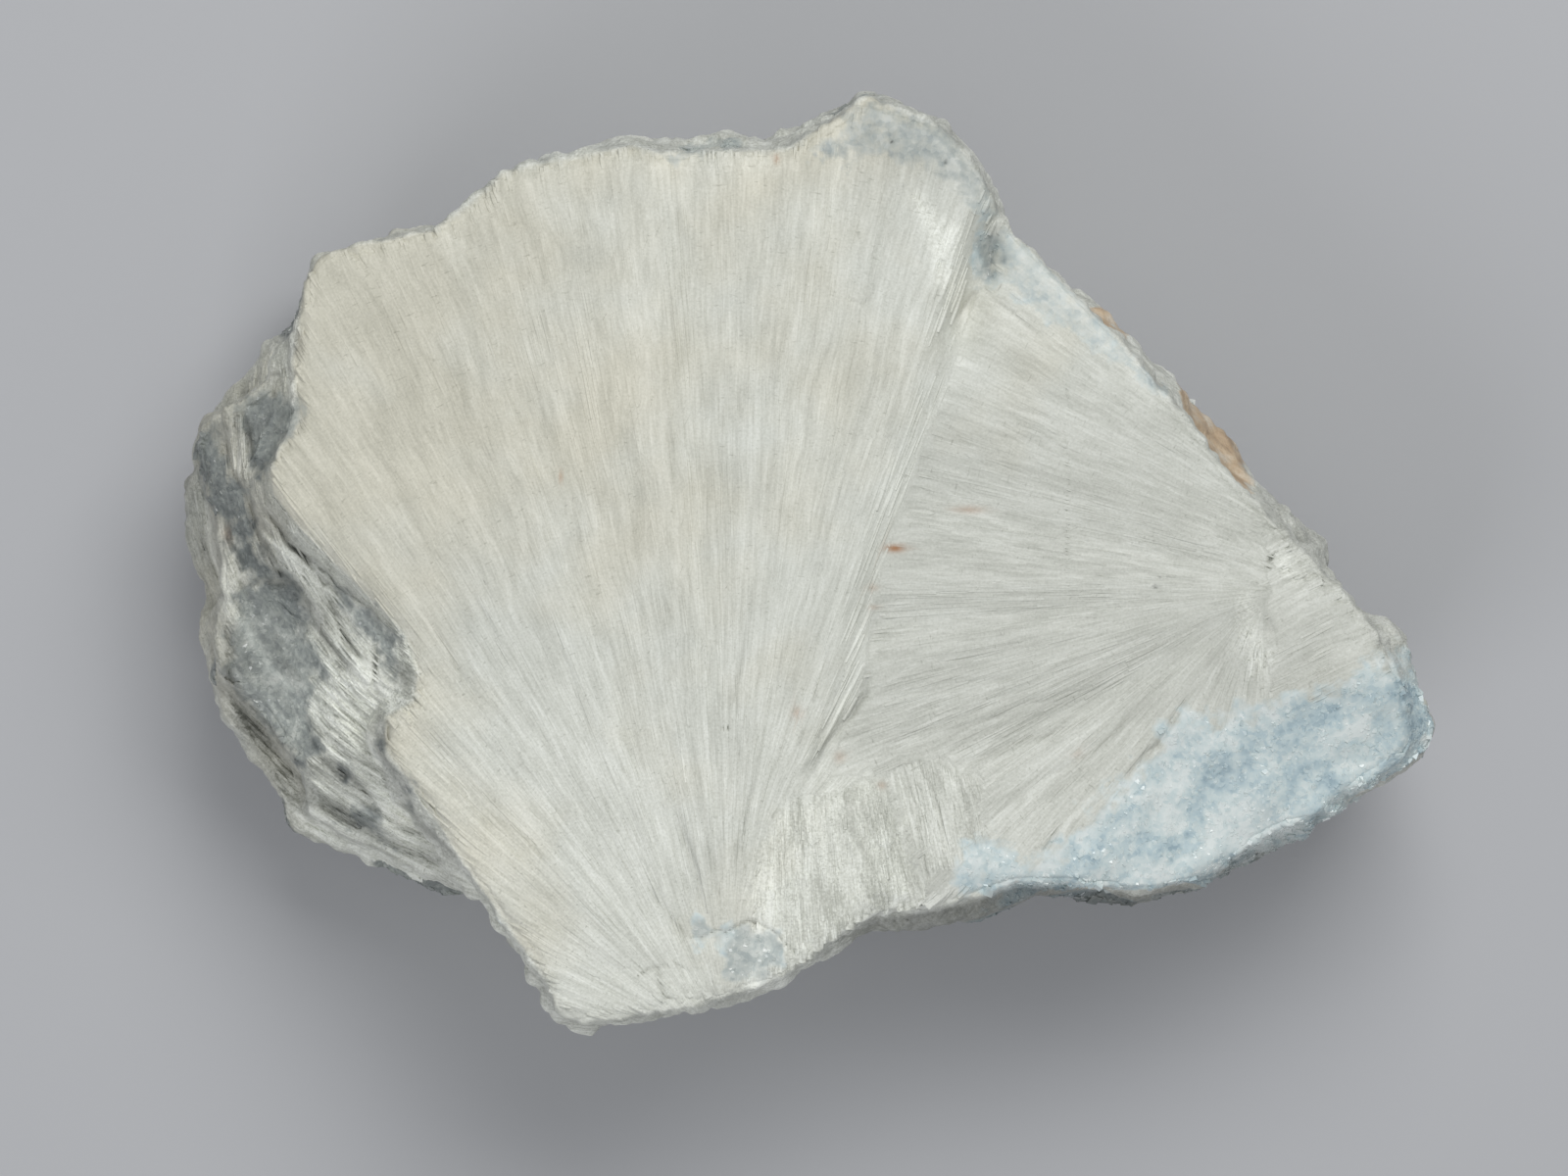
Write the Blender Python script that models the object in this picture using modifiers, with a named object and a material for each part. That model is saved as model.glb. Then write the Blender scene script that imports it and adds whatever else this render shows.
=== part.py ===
"""Wollastonite specimen: one broken block of fan-shaped wollastonite grown in pale blue calcite.

It lies on its flat broken back with the two fans facing up, so every length across the face is a plan
length. +X runs along the block's long side, +Y across it and +Z up; the origin is under the middle of
the block, on the surface that it lies on. The shape is worked out in millimetres and scaled to metres
at the end.
"""

import bmesh
import bpy
import numpy as np
from mathutils import Matrix

MM = 0.001

# ------------------------------------------------------------------ driving dimensions, in millimetres
FACE_HEIGHT = 50.0  # broken face of the main fan above the resting surface
WAIST_HEIGHT = 19.0  # height at which the block is widest
FAN_STEP = 2.2  # the second fan lies this much below the main one
CALCITE_SLOPE = 0.26  # the blue calcite corner falls away from the fans, mm per mm
EDGE_WEAR = 0.8  # how far the rim of the face is worn down
BASE_SHARE = 0.76  # width of the underside as a share of the waist
SPARE_DEPTH = 7.0  # modelled below the resting surface and cut off flat there
WAIST_FLARE = 1.022  # the waist outline grows by this, because it was drawn as seen at the height of the face
RING_STATIONS = 300  # points round each ring of the loft
RIM_RELIEF = 0.7  # most that the facets move the widest outline
RIB_HEIGHT = 0.55
RIB_WIDTH = 5.0
RIB_RADIUS = 80.0  # distance from the main focus at which the ribs have that width
ROUGH_VOXEL = 1.2
FINE_VOXEL = 0.95
TRIANGLES = 10300  # before the flat cut, which takes about a tenth away
FACET_SHARPNESS = 24.0  # how short the slopes are where two broken facets meet

CENTRE = (-5.0, -3.0)  # the point that every outline can be seen from

# Plan outline of the whole block, anticlockwise from the peak.
WAIST_OUTLINE = [
    (8, 60), (3, 57.5), (-2.5, 54.5), (-10.5, 54.5), (-19, 53), (-23, 54), (-29.5, 52), (-36, 51),
    (-39.5, 50), (-43.5, 46.5), (-48.5, 42.5), (-56, 41), (-63.5, 40), (-66, 35.5), (-67, 30.5),
    (-71.5, 29), (-72, 25), (-75, 23.5), (-77, 20.5), (-80, 19), (-81, 15), (-80, 8.5), (-79.5, 1.5),
    (-78.5, -6), (-77, -15.5), (-75.5, -20), (-69.5, -27), (-67.5, -35), (-61.5, -38.5), (-55, -40),
    (-50, -43.5), (-44.5, -43), (-40, -45), (-38.5, -50), (-34, -54), (-32.5, -58.5), (-28.5, -60.5),
    (-22, -58.5), (-10.5, -56.5), (-3, -54), (2, -50.5), (7.5, -46.5), (13.5, -47), (20, -46),
    (27, -43.5), (34.5, -42.5), (42.5, -44), (48.5, -42), (56, -38.5), (62.5, -35), (68.5, -30.5),
    (76.5, -26), (80, -21.5), (77.5, -15), (76, -9), (73, -9), (69.5, -4.5), (66, -1.5), (67, 2),
    (63.5, 3.5), (61.5, 6.5), (56, 10.5), (54.5, 15), (49, 19.5), (46, 23.5), (40, 28.5), (39, 30.5),
    (35.5, 34), (33, 35.5), (29, 40.5), (25, 43), (24, 46.5), (21, 51.5), (17, 56.5), (13.5, 57.5),
]

# Plan outline of the broken face, from the same peak.
FACE_OUTLINE = [
    (8, 60), (3, 57), (-2.5, 53), (-10.5, 53), (-19, 52.5), (-23, 53.5), (-29.5, 52), (-36, 51),
    (-39.5, 50), (-43.5, 46), (-48.5, 42.5), (-56, 41), (-63, 39.5), (-65, 36), (-65.5, 32),
    (-66.5, 25.5), (-65.5, 18.5), (-68, 15), (-69.5, 11.5), (-69, 8.5), (-65, 3.5), (-57.5, -4),
    (-52, -9.5), (-50.5, -14), (-50.8, -18), (-54.5, -20), (-54.8, -24), (-51.5, -28.5), (-48, -33.5),
    (-43.5, -40.5), (-38.5, -47.5), (-34, -54), (-32.5, -58.5), (-28.5, -60), (-22, -58.5),
    (-10.5, -56), (-3, -53.5), (2, -50), (7.5, -46), (13.5, -45), (20, -44), (27, -41.5), (34.5, -42),
    (42.5, -43), (48.5, -41.5), (56, -38), (62.5, -34.5), (68.5, -30), (75.5, -26), (78, -23),
    (76.5, -16), (73, -9.5), (69.5, -5), (65.5, -1.5), (60, 4.5), (53, 13), (46.5, 21), (40.5, 28),
    (35.5, 33.5), (33, 35.5), (29, 40), (25, 43), (24, 46.5), (21, 51.5), (17, 56), (13.5, 57),
]

# Zones of the face: the second fan, the calcite corner, and two tufts of upright fibres.
SECOND_FAN = [
    (24, 40), (20, 29.5), (17.5, 21.5), (15, 15.5), (12, 6.5), (10, 0.5), (8, -7), (7.5, -13.5),
    (6, -18.5), (4, -23.5), (3, -27.5), (12, -28), (14, -60), (95, -60), (95, 60), (40, 60),
]
CALCITE_CORNER = [
    (24, -44), (33, -37), (38.5, -31), (44, -25), (49, -19.5), (53.5, -20.5), (60, -19), (66, -16),
    (72.5, -13.5), (95, -8), (95, -60), (20, -60),
]
LOW_TUFT = [
    (-6, -33), (-1, -28.5), (6, -26.5), (12, -28.5), (13.5, -50), (2, -60), (-8, -60), (-7, -42),
]
SIDE_TUFT = [(13, -26), (17, -25), (22.5, -27), (23, -41), (14.5, -42.5)]

# Fibre roots: each fan spreads from its own focus.
MAIN_FOCUS = (-10.5, -63.0)
SECOND_FOCUS = (64.0, -4.0)
BURST = (58.5, -8.5)  # splayed knot of blades at the root of the second fan

# Lines on the face: (path, height, half width).
FACE_LINES = [
    ([(23.5, 42.5), (21.5, 36), (19.5, 29.5)], -3.0, 2.4),
    ([(9.5, -8), (5.5, -19), (1, -27)], -1.1, 1.1),
    ([(20, -26.5), (32, -20), (43, -15)], -1.0, 1.3),
    ([(22, -34), (33, -27), (41, -19)], -0.8, 1.3),
    ([(-16, -48), (-9, -47.5), (-3, -49.5)], -1.2, 0.9),
    ([(-27, -53), (-17, -52), (-12, -53.5)], -1.0, 0.9),
]

# The left ledge is a smooth surface through these points, (x, y, height), with ridges, creases and a
# hollow on it.
LEDGE_KNOTS = [
    (-79.5, 14, 33), (-77.5, 16.5, 35), (-75, 20, 39), (-71, 22, 40), (-67, 24, 42), (-66, 20, 44),
    (-72, 15, 39.5), (-69, 13, 43), (-77.5, 9, 35), (-74.8, 6, 35), (-73.5, 0, 34.5), (-79.5, 3, 32),
    (-78.5, -5, 32.5), (-72.5, 9, 40), (-70.5, 4, 40), (-66, -3, 39.5), (-60.5, -9.5, 39.5),
    (-56.5, -15.5, 42), (-70, 8.5, 44.5), (-66.5, 3, 45), (-61, -1.5, 45.5), (-56.5, -6, 45.5),
    (-60, -5, 42.5), (-55.7, -8.5, 44), (-53.5, -13, 44.5), (-70, -3, 35.5), (-75, -11, 33.5),
    (-62.5, -12, 38), (-67, -25.5, 33), (-76, -18, 30), (-72, -24, 28.5), (-68, -31.5, 27.5),
    (-60, -18.5, 39), (-58, -25, 38), (-54, -29, 38.5), (-62.5, -29, 33), (-62, -35, 27.5),
    (-55.5, -34.5, 31.5), (-50.5, -33, 37.5), (-46, -38, 36), (-50, -38.5, 30.5), (-55, -38.5, 27.5),
    (-49.5, -41.5, 28), (-42, -43.5, 30), (-56.5, -21, 38),
]
LEDGE_LINES = [
    ([(-75, 20), (-73.7, 11), (-70.6, 3), (-65.5, -4.2), (-59.8, -11), (-56.5, -17)], 2.2, 2.0),
    ([(-71, 10), (-67, 4), (-61.9, -0.2), (-55, -6.5)], 0.9, 1.0),
    ([(-70, 6.5), (-64.5, -1), (-60.5, -4.5)], -1.0, 0.9),
    ([(-57, -18), (-55.5, -24), (-52, -30.5), (-46.5, -37), (-41, -44)], -2.4, 1.2),
    ([(-73.2, -19.6), (-69.8, -24.8), (-65.5, -29), (-60, -33), (-53.5, -37.5)], -1.8, 1.0),
    ([(-78.4, 5), (-77.6, -4), (-75.5, -12), (-73.2, -17.5), (-69, -23.5), (-65.5, -27)], 1.6, 1.4),
]
HOLLOW = ((-68.8, -13.6), 6.6, 12.4, 17.0)  # centre, half width, half length, lean in degrees
HOLLOW_DEPTH = 3.6

# Ledges that stand out of the walls: plan outline, then the heights of underside and top.
WALL_LEDGES = {
    "fibrous_boss": ([(-70.7, 27), (-69.2, 28.3), (-64, 30), (-64, 22), (-68, 22.6), (-70.4, 24.5)], 28, 43),
    "lower_lobe": ([(-39.2, -45), (-38, -48.2), (-37.1, -52), (-33.3, -57), (-29, -50), (-34, -44)], 18, 39),
    "garnet_knob": ([(36.3, 32.8), (38.4, 32.3), (39.9, 30.3), (39.4, 28.8), (35, 26), (31, 30)], 18, 31),
    "garnet_ledge": (
        [(48, 20.5), (52.4, 17.6), (55.2, 14.8), (55.6, 11.4), (57.6, 9.1), (50, 5), (42, 16)], 9, 29
    ),
    "loose_flake": (
        [(57, 9.3), (61.3, 7.4), (62.2, 6), (63.9, 4.1), (67.6, 2.2), (65.7, -1.2), (58, -5), (53, 4)], 13, 25
    ),
    "blue_corner": (
        [(73, -8.3), (75.6, -8.5), (77.3, -10.4), (78, -15), (80.4, -21.7), (78.2, -24.6), (68, -18)], 14, 40
    ),
}


# ------------------------------------------------------------------------------ numbers over the plan
def smooth_step(value, low, high):
    """0 below low, 1 above high, and a soft change between them."""
    t = np.clip((value - low) / (high - low), 0, 1)
    return t * t * (3 - 2 * t)


def distance_to_path(x, y, path):
    """Shortest plan distance from each point to an open path."""
    nearest = np.full(x.shape, np.inf)
    for (ax, ay), (bx, by) in zip(path[:-1], path[1:]):
        dx, dy = bx - ax, by - ay
        t = np.clip(((x - ax) * dx + (y - ay) * dy) / (dx * dx + dy * dy), 0, 1)
        nearest = np.minimum(nearest, np.hypot(x - ax - t * dx, y - ay - t * dy))
    return nearest


def depth_inside(x, y, outline):
    """Plan distance to a closed outline, positive inside it and negative outside."""
    inside = np.zeros(x.shape, bool)
    for (ax, ay), (bx, by) in zip(outline, outline[1:] + outline[:1]):
        if ay != by:
            inside ^= ((ay > y) != (by > y)) & (x < ax + (y - ay) * (bx - ax) / (by - ay))
    distance = distance_to_path(x, y, outline + outline[:1])
    return np.where(inside, distance, -distance)


def scatter(a, b, c, seed):
    """One repeatable value from -1 to 1 for each whole-number cell."""
    h = (a * 374761393 + b * 668265263 + c * 974634777 + seed * 362437) & 0xFFFFFFFF
    h = ((h ^ (h >> 13)) * 1274126177) & 0xFFFFFFFF
    return ((h ^ (h >> 16)) & 0xFFFF) / 32767.5 - 1


def soft_noise(points, size, seed):
    """Smooth noise from -1 to 1 with features about `size` across, at each row of points."""
    place = points / size
    cell = np.floor(place).astype(np.int64)
    share = place - cell
    share = share * share * (3 - 2 * share)
    total = np.zeros(len(points))
    for corner in np.ndindex(2, 2, 2):
        weight = np.prod(np.where(corner, share, 1 - share), axis=1)
        total += weight * scatter(*(cell + corner).T, seed)
    return total


def broken_facets(points, size, seed):
    """Noise made of flat tilted facets that meet in short slopes, as where stone breaks."""
    place = points / size
    cell = np.floor(place).astype(np.int64)
    total = np.zeros(len(points))
    share = np.zeros(len(points))
    for shift in np.ndindex(3, 3, 3):
        near = cell + np.array(shift) - 1
        seat = near + 0.5 + 0.45 * np.stack([scatter(*near.T, seed + k) for k in range(3)], axis=1)
        tilt = np.stack([scatter(*near.T, seed + 3 + k) for k in range(3)], axis=1)
        apart = place - seat
        weight = np.exp(-FACET_SHARPNESS * (apart**2).sum(axis=1))
        total += weight * ((apart * tilt).sum(axis=1) + 0.5 * scatter(*near.T, seed + 6))
        share += weight
    return total / share


def ribs(across, width, seed):
    """Flat-topped strips of unlike height, side by side."""
    column = np.floor(across / width).astype(np.int64)
    edge = smooth_step(across / width - column, 0.7, 1.0)
    none = np.zeros_like(column)
    return scatter(column, none, none, seed) * (1 - edge) + scatter(column + 1, none, none, seed) * edge


# ------------------------------------------------------------------------------------ top of the block
def across_fibres(x, y):
    """Distance across the fibres in mm: each fan spreads about its own focus, the tufts stand upright."""
    main = RIB_RADIUS * np.arctan2(x - MAIN_FOCUS[0], y - MAIN_FOCUS[1])
    second = 0.6 * RIB_RADIUS * np.arctan2(y - SECOND_FOCUS[1], SECOND_FOCUS[0] - x)
    in_tuft = np.maximum(depth_inside(x, y, LOW_TUFT), depth_inside(x, y, SIDE_TUFT)) > 0
    fan = np.where(depth_inside(x, y, SECOND_FAN) > 0, second, main)
    return np.where(in_tuft, x, fan)


def lines_relief(x, y, lines):
    """Ridges and grooves: soft bumps along each path."""
    return sum(height * np.exp(-((distance_to_path(x, y, path) / width) ** 2)) for path, height, width in lines)


def face_height(x, y):
    """Height of the broken face in mm."""
    z = np.full(x.shape, FACE_HEIGHT)
    z -= FAN_STEP * smooth_step(depth_inside(x, y, SECOND_FAN), -4.5, 0.5)
    z -= 0.035 * np.clip(-x - 20, 0, None)
    z += 2.2 * np.exp(-(((x - BURST[0]) / 5) ** 2 + ((y - BURST[1]) / 8) ** 2))
    in_calcite = depth_inside(x, y, CALCITE_CORNER)
    z -= CALCITE_SLOPE * np.clip(in_calcite, 0, None)
    z += 1.3 * smooth_step(depth_inside(x, y, LOW_TUFT), -0.5, 6.0)
    z += 1.0 * smooth_step(depth_inside(x, y, SIDE_TUFT), -0.5, 3.0)
    z += lines_relief(x, y, FACE_LINES)
    fibrous = 1 - smooth_step(in_calcite, -1, 1)
    z += fibrous * RIB_HEIGHT * ribs(across_fibres(x, y), RIB_WIDTH, 11)
    plan = np.stack([x, y, np.zeros_like(x)], axis=1)
    z += 0.8 * soft_noise(plan, 22.0, 5) + (1 - fibrous) * 0.9 * broken_facets(plan, 5.5, 31)
    return z - EDGE_WEAR * (1 - smooth_step(depth_inside(x, y, FACE_OUTLINE), 0, 1.2 * EDGE_WEAR))


def surface_through(knots):
    """A function of (x, y) that passes smoothly through every (x, y, height) knot."""
    knots = np.array(knots, float)
    corner, height = knots[:, :2], knots[:, 2]

    def bend(dx, dy):
        squared = dx * dx + dy * dy
        return squared * np.log(squared + 1e-9)

    gaps = corner[:, None, :] - corner[None, :, :]
    flat = np.column_stack([np.ones(len(knots)), corner])
    system = np.block([[bend(gaps[..., 0], gaps[..., 1]), flat], [flat.T, np.zeros((3, 3))]])
    weights = np.linalg.solve(system, np.append(height, [0, 0, 0]))

    def height_at(x, y):
        total = weights[-3] + weights[-2] * x + weights[-1] * y
        for (kx, ky), weight in zip(corner, weights):
            total = total + weight * bend(x - kx, y - ky)
        return total

    return height_at


def ledge_height(x, y):
    """Height of the stepped ledge at the left, in mm."""
    z = surface_through(LEDGE_KNOTS)(x, y) + lines_relief(x, y, LEDGE_LINES)
    (cx, cy), half_width, half_length, lean = HOLLOW
    turn = np.radians(lean)
    u = ((x - cx) * np.cos(turn) + (y - cy) * np.sin(turn)) / half_width
    v = (-(x - cx) * np.sin(turn) + (y - cy) * np.cos(turn)) / half_length
    z -= HOLLOW_DEPTH * np.sqrt(np.clip(1 - u * u - v * v, 0, None))
    plan = np.stack([x, y, np.zeros_like(x)], axis=1)
    return z + 0.4 * soft_noise(plan, 5.0, 41)


def sculpt_top(points):
    """Sets the height of the face and of the left ledge; the walls round them stay."""
    x, y, z = points.T
    in_face = depth_inside(x, y, FACE_OUTLINE)
    above = smooth_step(z, WAIST_HEIGHT, WAIST_HEIGHT + 4)
    on_face = smooth_step(in_face, -0.4, 0.6) * above
    in_ledge = np.minimum(-in_face - 0.6, depth_inside(x, y, WAIST_OUTLINE) - 1.2)
    left = smooth_step(-x, 38, 44) * (1 - smooth_step(y, 30, 36))
    on_ledge = smooth_step(in_ledge, 0, 1.0) * left * above
    points[:, 2] = z + on_face * (face_height(x, y) - z) + on_ledge * (ledge_height(x, y) - z)


def roughen_walls(points, normals):
    """Breaks up everything but the face and the ledge into facets and lumps."""
    x, y, z = points.T
    wall = 1 - smooth_step(depth_inside(x, y, FACE_OUTLINE), -1, 2) * smooth_step(z, 36, 42)
    wall *= 1 - 0.75 * smooth_step(z, 38, 46)
    wall *= 1 - 0.85 * smooth_step(-x, 44, 50) * smooth_step(normals[:, 2], 0.3, 0.7) * smooth_step(z, 22, 27)
    relief = 3.0 * broken_facets(points, 19.0, 51) + 1.1 * broken_facets(points, 6.5, 71)
    limit = RIM_RELIEF + 0.6 * np.abs(depth_inside(x / WAIST_FLARE, y / WAIST_FLARE, WAIST_OUTLINE))
    return points + normals * (wall * np.clip(relief, -limit, limit))[:, None]


# ------------------------------------------------------------------------------------------- Blender
def clear_scene():
    for obj in list(bpy.data.objects):
        bpy.data.objects.remove(obj)


def stations(outline):
    """The outline at RING_STATIONS equal angles round CENTRE."""
    x, y = np.array(outline, float).T
    angle = np.unwrap(np.arctan2(y - CENTRE[1], x - CENTRE[0]))
    wanted = np.linspace(angle[0], angle[0] + 2 * np.pi, RING_STATIONS, endpoint=False)
    angle = np.append(angle, angle[0] + 2 * np.pi)
    return np.stack([np.interp(wanted, angle, np.append(v, v[0])) for v in (x, y)], axis=1)


def loft_block():
    """The bare block: rings from the resting face out to the waist and in to the broken face."""
    waist, face, centre = stations(WAIST_OUTLINE) * WAIST_FLARE, stations(FACE_OUTLINE), np.array(CENTRE)
    rings = [
        (centre + (waist - centre) * BASE_SHARE, -SPARE_DEPTH),
        (centre + (waist - centre) * 0.93, WAIST_HEIGHT * 0.42),
        (waist, WAIST_HEIGHT),
        (waist * 0.35 + face * 0.65, FACE_HEIGHT * 0.72),
        (face, FACE_HEIGHT - 2),
        (centre + (face - centre) * 0.98, FACE_HEIGHT),
    ]
    bm = bmesh.new()
    loops = [[bm.verts.new((x, y, z)) for x, y in ring] for ring, z in rings]
    for low, high in zip(loops[:-1], loops[1:]):
        for k in range(RING_STATIONS):
            after = (k + 1) % RING_STATIONS
            bm.faces.new((low[k], low[after], high[after], high[k]))
    bm.faces.new(reversed(loops[0]))
    bm.faces.new(loops[-1])
    bmesh.ops.triangulate(bm, faces=bm.faces)
    bmesh.ops.recalc_face_normals(bm, faces=bm.faces)
    return new_object("block", bm)


def add_wall_ledge(name, outline, underside, top):
    """A flat outline given thickness, as a closed mesh."""
    curve = bpy.data.curves.new(name, "CURVE")
    curve.dimensions = "2D"
    curve.fill_mode = "BOTH"
    curve.extrude = (top - underside) / 2
    spline = curve.splines.new("POLY")
    spline.points.add(len(outline) - 1)
    for point, (x, y) in zip(spline.points, outline):
        point.co = (x, y, 0, 1)
    spline.use_cyclic_u = True
    shape = bpy.data.objects.new(name, curve)
    bpy.context.scene.collection.objects.link(shape)
    shape.location.z = (top + underside) / 2
    bpy.context.view_layer.update()
    bm = bmesh.new()
    bm.from_mesh(bpy.data.meshes.new_from_object(shape.evaluated_get(bpy.context.evaluated_depsgraph_get())))
    bm.transform(shape.matrix_world)
    bmesh.ops.remove_doubles(bm, verts=bm.verts, dist=1e-4)
    bpy.data.objects.remove(shape)
    return new_object(name, bm)


def new_object(name, bm):
    mesh = bpy.data.meshes.new(name)
    bm.to_mesh(mesh)
    bm.free()
    obj = bpy.data.objects.new(name, mesh)
    bpy.context.scene.collection.objects.link(obj)
    return obj


def join(objects):
    bpy.ops.object.select_all(action="DESELECT")
    for obj in objects:
        obj.select_set(True)
    bpy.context.view_layer.objects.active = objects[0]
    bpy.ops.object.join()
    return objects[0]


def apply_modifier(obj, kind, **settings):
    modifier = obj.modifiers.new(kind.title(), kind)
    for name, value in settings.items():
        setattr(modifier, name, value)
    bpy.context.view_layer.objects.active = obj
    bpy.ops.object.modifier_apply(modifier=modifier.name)


def points_and_normals(obj):
    points = np.empty(len(obj.data.vertices) * 3)
    normals = np.empty_like(points)
    obj.data.vertices.foreach_get("co", points)
    obj.data.vertices.foreach_get("normal", normals)
    return points.reshape(-1, 3), normals.reshape(-1, 3)


def set_points(obj, points):
    obj.data.vertices.foreach_set("co", points.ravel())
    obj.data.update()


def drop_loose_chips(bm):
    """Removes whatever the cut has parted from the block."""
    kept = {max(bm.verts, key=lambda vert: vert.co.z)}
    edge_of_kept = list(kept)
    while edge_of_kept:
        vert = edge_of_kept.pop()
        near = {edge.other_vert(vert) for edge in vert.link_edges} - kept
        kept |= near
        edge_of_kept += near
    bmesh.ops.delete(bm, geom=[vert for vert in bm.verts if vert not in kept], context="VERTS")


def cut_flat_base(obj):
    """Cuts the block off at the resting surface and closes it with one flat face."""
    bm = bmesh.new()
    bm.from_mesh(obj.data)
    everything = bm.verts[:] + bm.edges[:] + bm.faces[:]
    bmesh.ops.bisect_plane(
        bm, geom=everything, plane_co=(0, 0, 0), plane_no=(0, 0, 1), clear_inner=True, dist=1e-5
    )
    drop_loose_chips(bm)
    bmesh.ops.holes_fill(bm, edges=[edge for edge in bm.edges if edge.is_boundary])
    bmesh.ops.triangulate(bm, faces=bm.faces)
    bm.to_mesh(obj.data)
    bm.free()


def stone_material():
    material = bpy.data.materials.new("fibrous_wollastonite")
    material.use_nodes = True
    shader = material.node_tree.nodes["Principled BSDF"]
    shader.inputs["Base Color"].default_value = (0.60, 0.60, 0.55, 1)
    shader.inputs["Roughness"].default_value = 0.55
    shader.inputs["Metallic"].default_value = 0.0
    return material


def main():
    clear_scene()
    collection = bpy.data.collections.new("wollastonite_specimen")
    bpy.context.scene.collection.children.link(collection)

    block = join([loft_block()] + [add_wall_ledge(name, *place) for name, place in WALL_LEDGES.items()])
    apply_modifier(block, "REMESH", mode="VOXEL", voxel_size=ROUGH_VOXEL)
    points, _ = points_and_normals(block)
    sculpt_top(points)
    set_points(block, points)
    apply_modifier(block, "REMESH", mode="VOXEL", voxel_size=FINE_VOXEL)
    set_points(block, roughen_walls(*points_and_normals(block)))
    apply_modifier(block, "REMESH", mode="VOXEL", voxel_size=FINE_VOXEL)
    apply_modifier(block, "SMOOTH", factor=0.5, iterations=1)
    apply_modifier(block, "TRIANGULATE")
    apply_modifier(block, "DECIMATE", ratio=TRIANGLES / len(block.data.polygons))
    cut_flat_base(block)
    block.data.transform(Matrix.Scale(MM, 4))

    block.name = block.data.name = "wollastonite_block"
    block.data.materials.append(stone_material())
    for parent in block.users_collection:
        parent.objects.unlink(block)
    collection.objects.link(block)


main()
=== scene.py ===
"""Looks of the wollastonite specimen: silky fibres, blue calcite grains and a little garnet.

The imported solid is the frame. Its copy is refined here and dressed with thousands of separate blades and
grains. Plan shapes are given in millimetres in the frame's own axes.
"""

import math
from functools import partial

import bmesh
import bpy
import numpy as np
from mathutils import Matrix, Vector
from mathutils.bvhtree import BVHTree


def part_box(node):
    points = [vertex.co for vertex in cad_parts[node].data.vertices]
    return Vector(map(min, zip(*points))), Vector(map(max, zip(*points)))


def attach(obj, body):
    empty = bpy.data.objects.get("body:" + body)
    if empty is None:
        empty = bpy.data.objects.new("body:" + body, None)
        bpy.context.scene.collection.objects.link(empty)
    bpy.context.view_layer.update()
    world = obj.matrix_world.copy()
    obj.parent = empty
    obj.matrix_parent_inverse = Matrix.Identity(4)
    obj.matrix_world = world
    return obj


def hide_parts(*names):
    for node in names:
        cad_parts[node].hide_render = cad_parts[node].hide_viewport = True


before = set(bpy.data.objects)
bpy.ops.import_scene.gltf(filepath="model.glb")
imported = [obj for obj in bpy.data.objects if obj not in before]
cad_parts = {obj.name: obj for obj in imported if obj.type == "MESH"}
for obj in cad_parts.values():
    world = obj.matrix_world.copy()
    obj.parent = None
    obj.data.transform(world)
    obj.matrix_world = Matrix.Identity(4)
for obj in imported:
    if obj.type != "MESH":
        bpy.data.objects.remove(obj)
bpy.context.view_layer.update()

MM = 0.001
NODE = "wollastonite_block"
BODY = "root"
BLOCK_LOW, BLOCK_HIGH = (np.array(corner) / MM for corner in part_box(NODE))

# ---------- the specimen, in millimetres
BODY_VOXEL = 0.6  # spacing of the refined block's vertices
MAP_STEP = 0.5  # spacing of the height map taken from the block
MAP_MARGIN = 2.0  # how far the map runs past the block
OPEN_ABOVE, OPEN_SLOPE = 12.0, 2.8  # the open top is higher than this and less steep
LIP_ROUNDS = 4  # steps of the map by which the top's heights run on past its lip
# The fine skin over the top is laid in strips along X: left side, right side and spacing.
SKIN_STRIPS = ((-83.0, -49.0, 0.2), (-49.0, -10.0, 0.3), (-10.0, 30.0, 0.3), (30.0, 82.0, 0.3))
UNDERLAY = 0.3  # how far the block is sunk below the skin that covers it
HIDDEN_CUT = 0.93  # share of the block's hidden triangles that is removed
STATIONS = 4  # places along a blade where it has vertices
# A blade's cross-section: places across as shares of its width, and the upper edge that each is on.
BLADE_SECTION = ((-0.5, None), (-0.36, 0), (0.36, 1), (0.5, None))
GRAIN_SIZE = 0.6  # usual size of one calcite grain
UPPER_SIDE = 20.0  # the top lies above this height, and the underside below it
LEDGE_SIDE = -40.0  # the ledge lies to the left of this

# What shows at a place on the top.
CALCITE, MAIN, SECOND, LOW, SIDE, LEDGE = range(6)
# Loose blades: name, where they lie, about how many, usual width and length, how far they stand up, seed.
BLADES = (
    ("main_fan_blades", (MAIN,), 2600, 0.5, 6.0, 0.015, 81),
    ("second_fan_blades", (SECOND,), 1300, 0.5, 6.0, 0.015, 82),
    ("tuft_blades", (LOW, SIDE), 1300, 0.4, 7.0, 0.05, 83),
    ("ledge_blades", (LEDGE,), 3000, 0.3, 3.5, 0.07, 84),
)
RIM_BLADES = ("rim_blades", 1100, 85)  # name, about how many, seed
# Loose calcite grains: name, usual size, how many, seed.
CORNER_GRAINS = ("corner_grains", 0.33, 3500, 71)
WALL_GRAINS = ("wall_grains", GRAIN_SIZE, 5000, 72)
# Where the fibres spread from, or on the ledge run round.
MAIN_FOCUS = (-10.5, -63.0)
MAIN_RIGHT_FOCUS = (-10.0, -45.0)  # of the main fan's right half
SECOND_LOW_FOCUS = (58.5, -4.0)  # of the second fan's low half
SECOND_HIGH_FOCUS = (79.0, -4.0)
LEDGE_CENTRE = (-28.0, 18.0)
# Distance from each of them at which the places across or along the fibres are true millimetres.
MAIN_REACH, SECOND_REACH, LEDGE_REACH = 75.0, 40.0, 45.0

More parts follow.
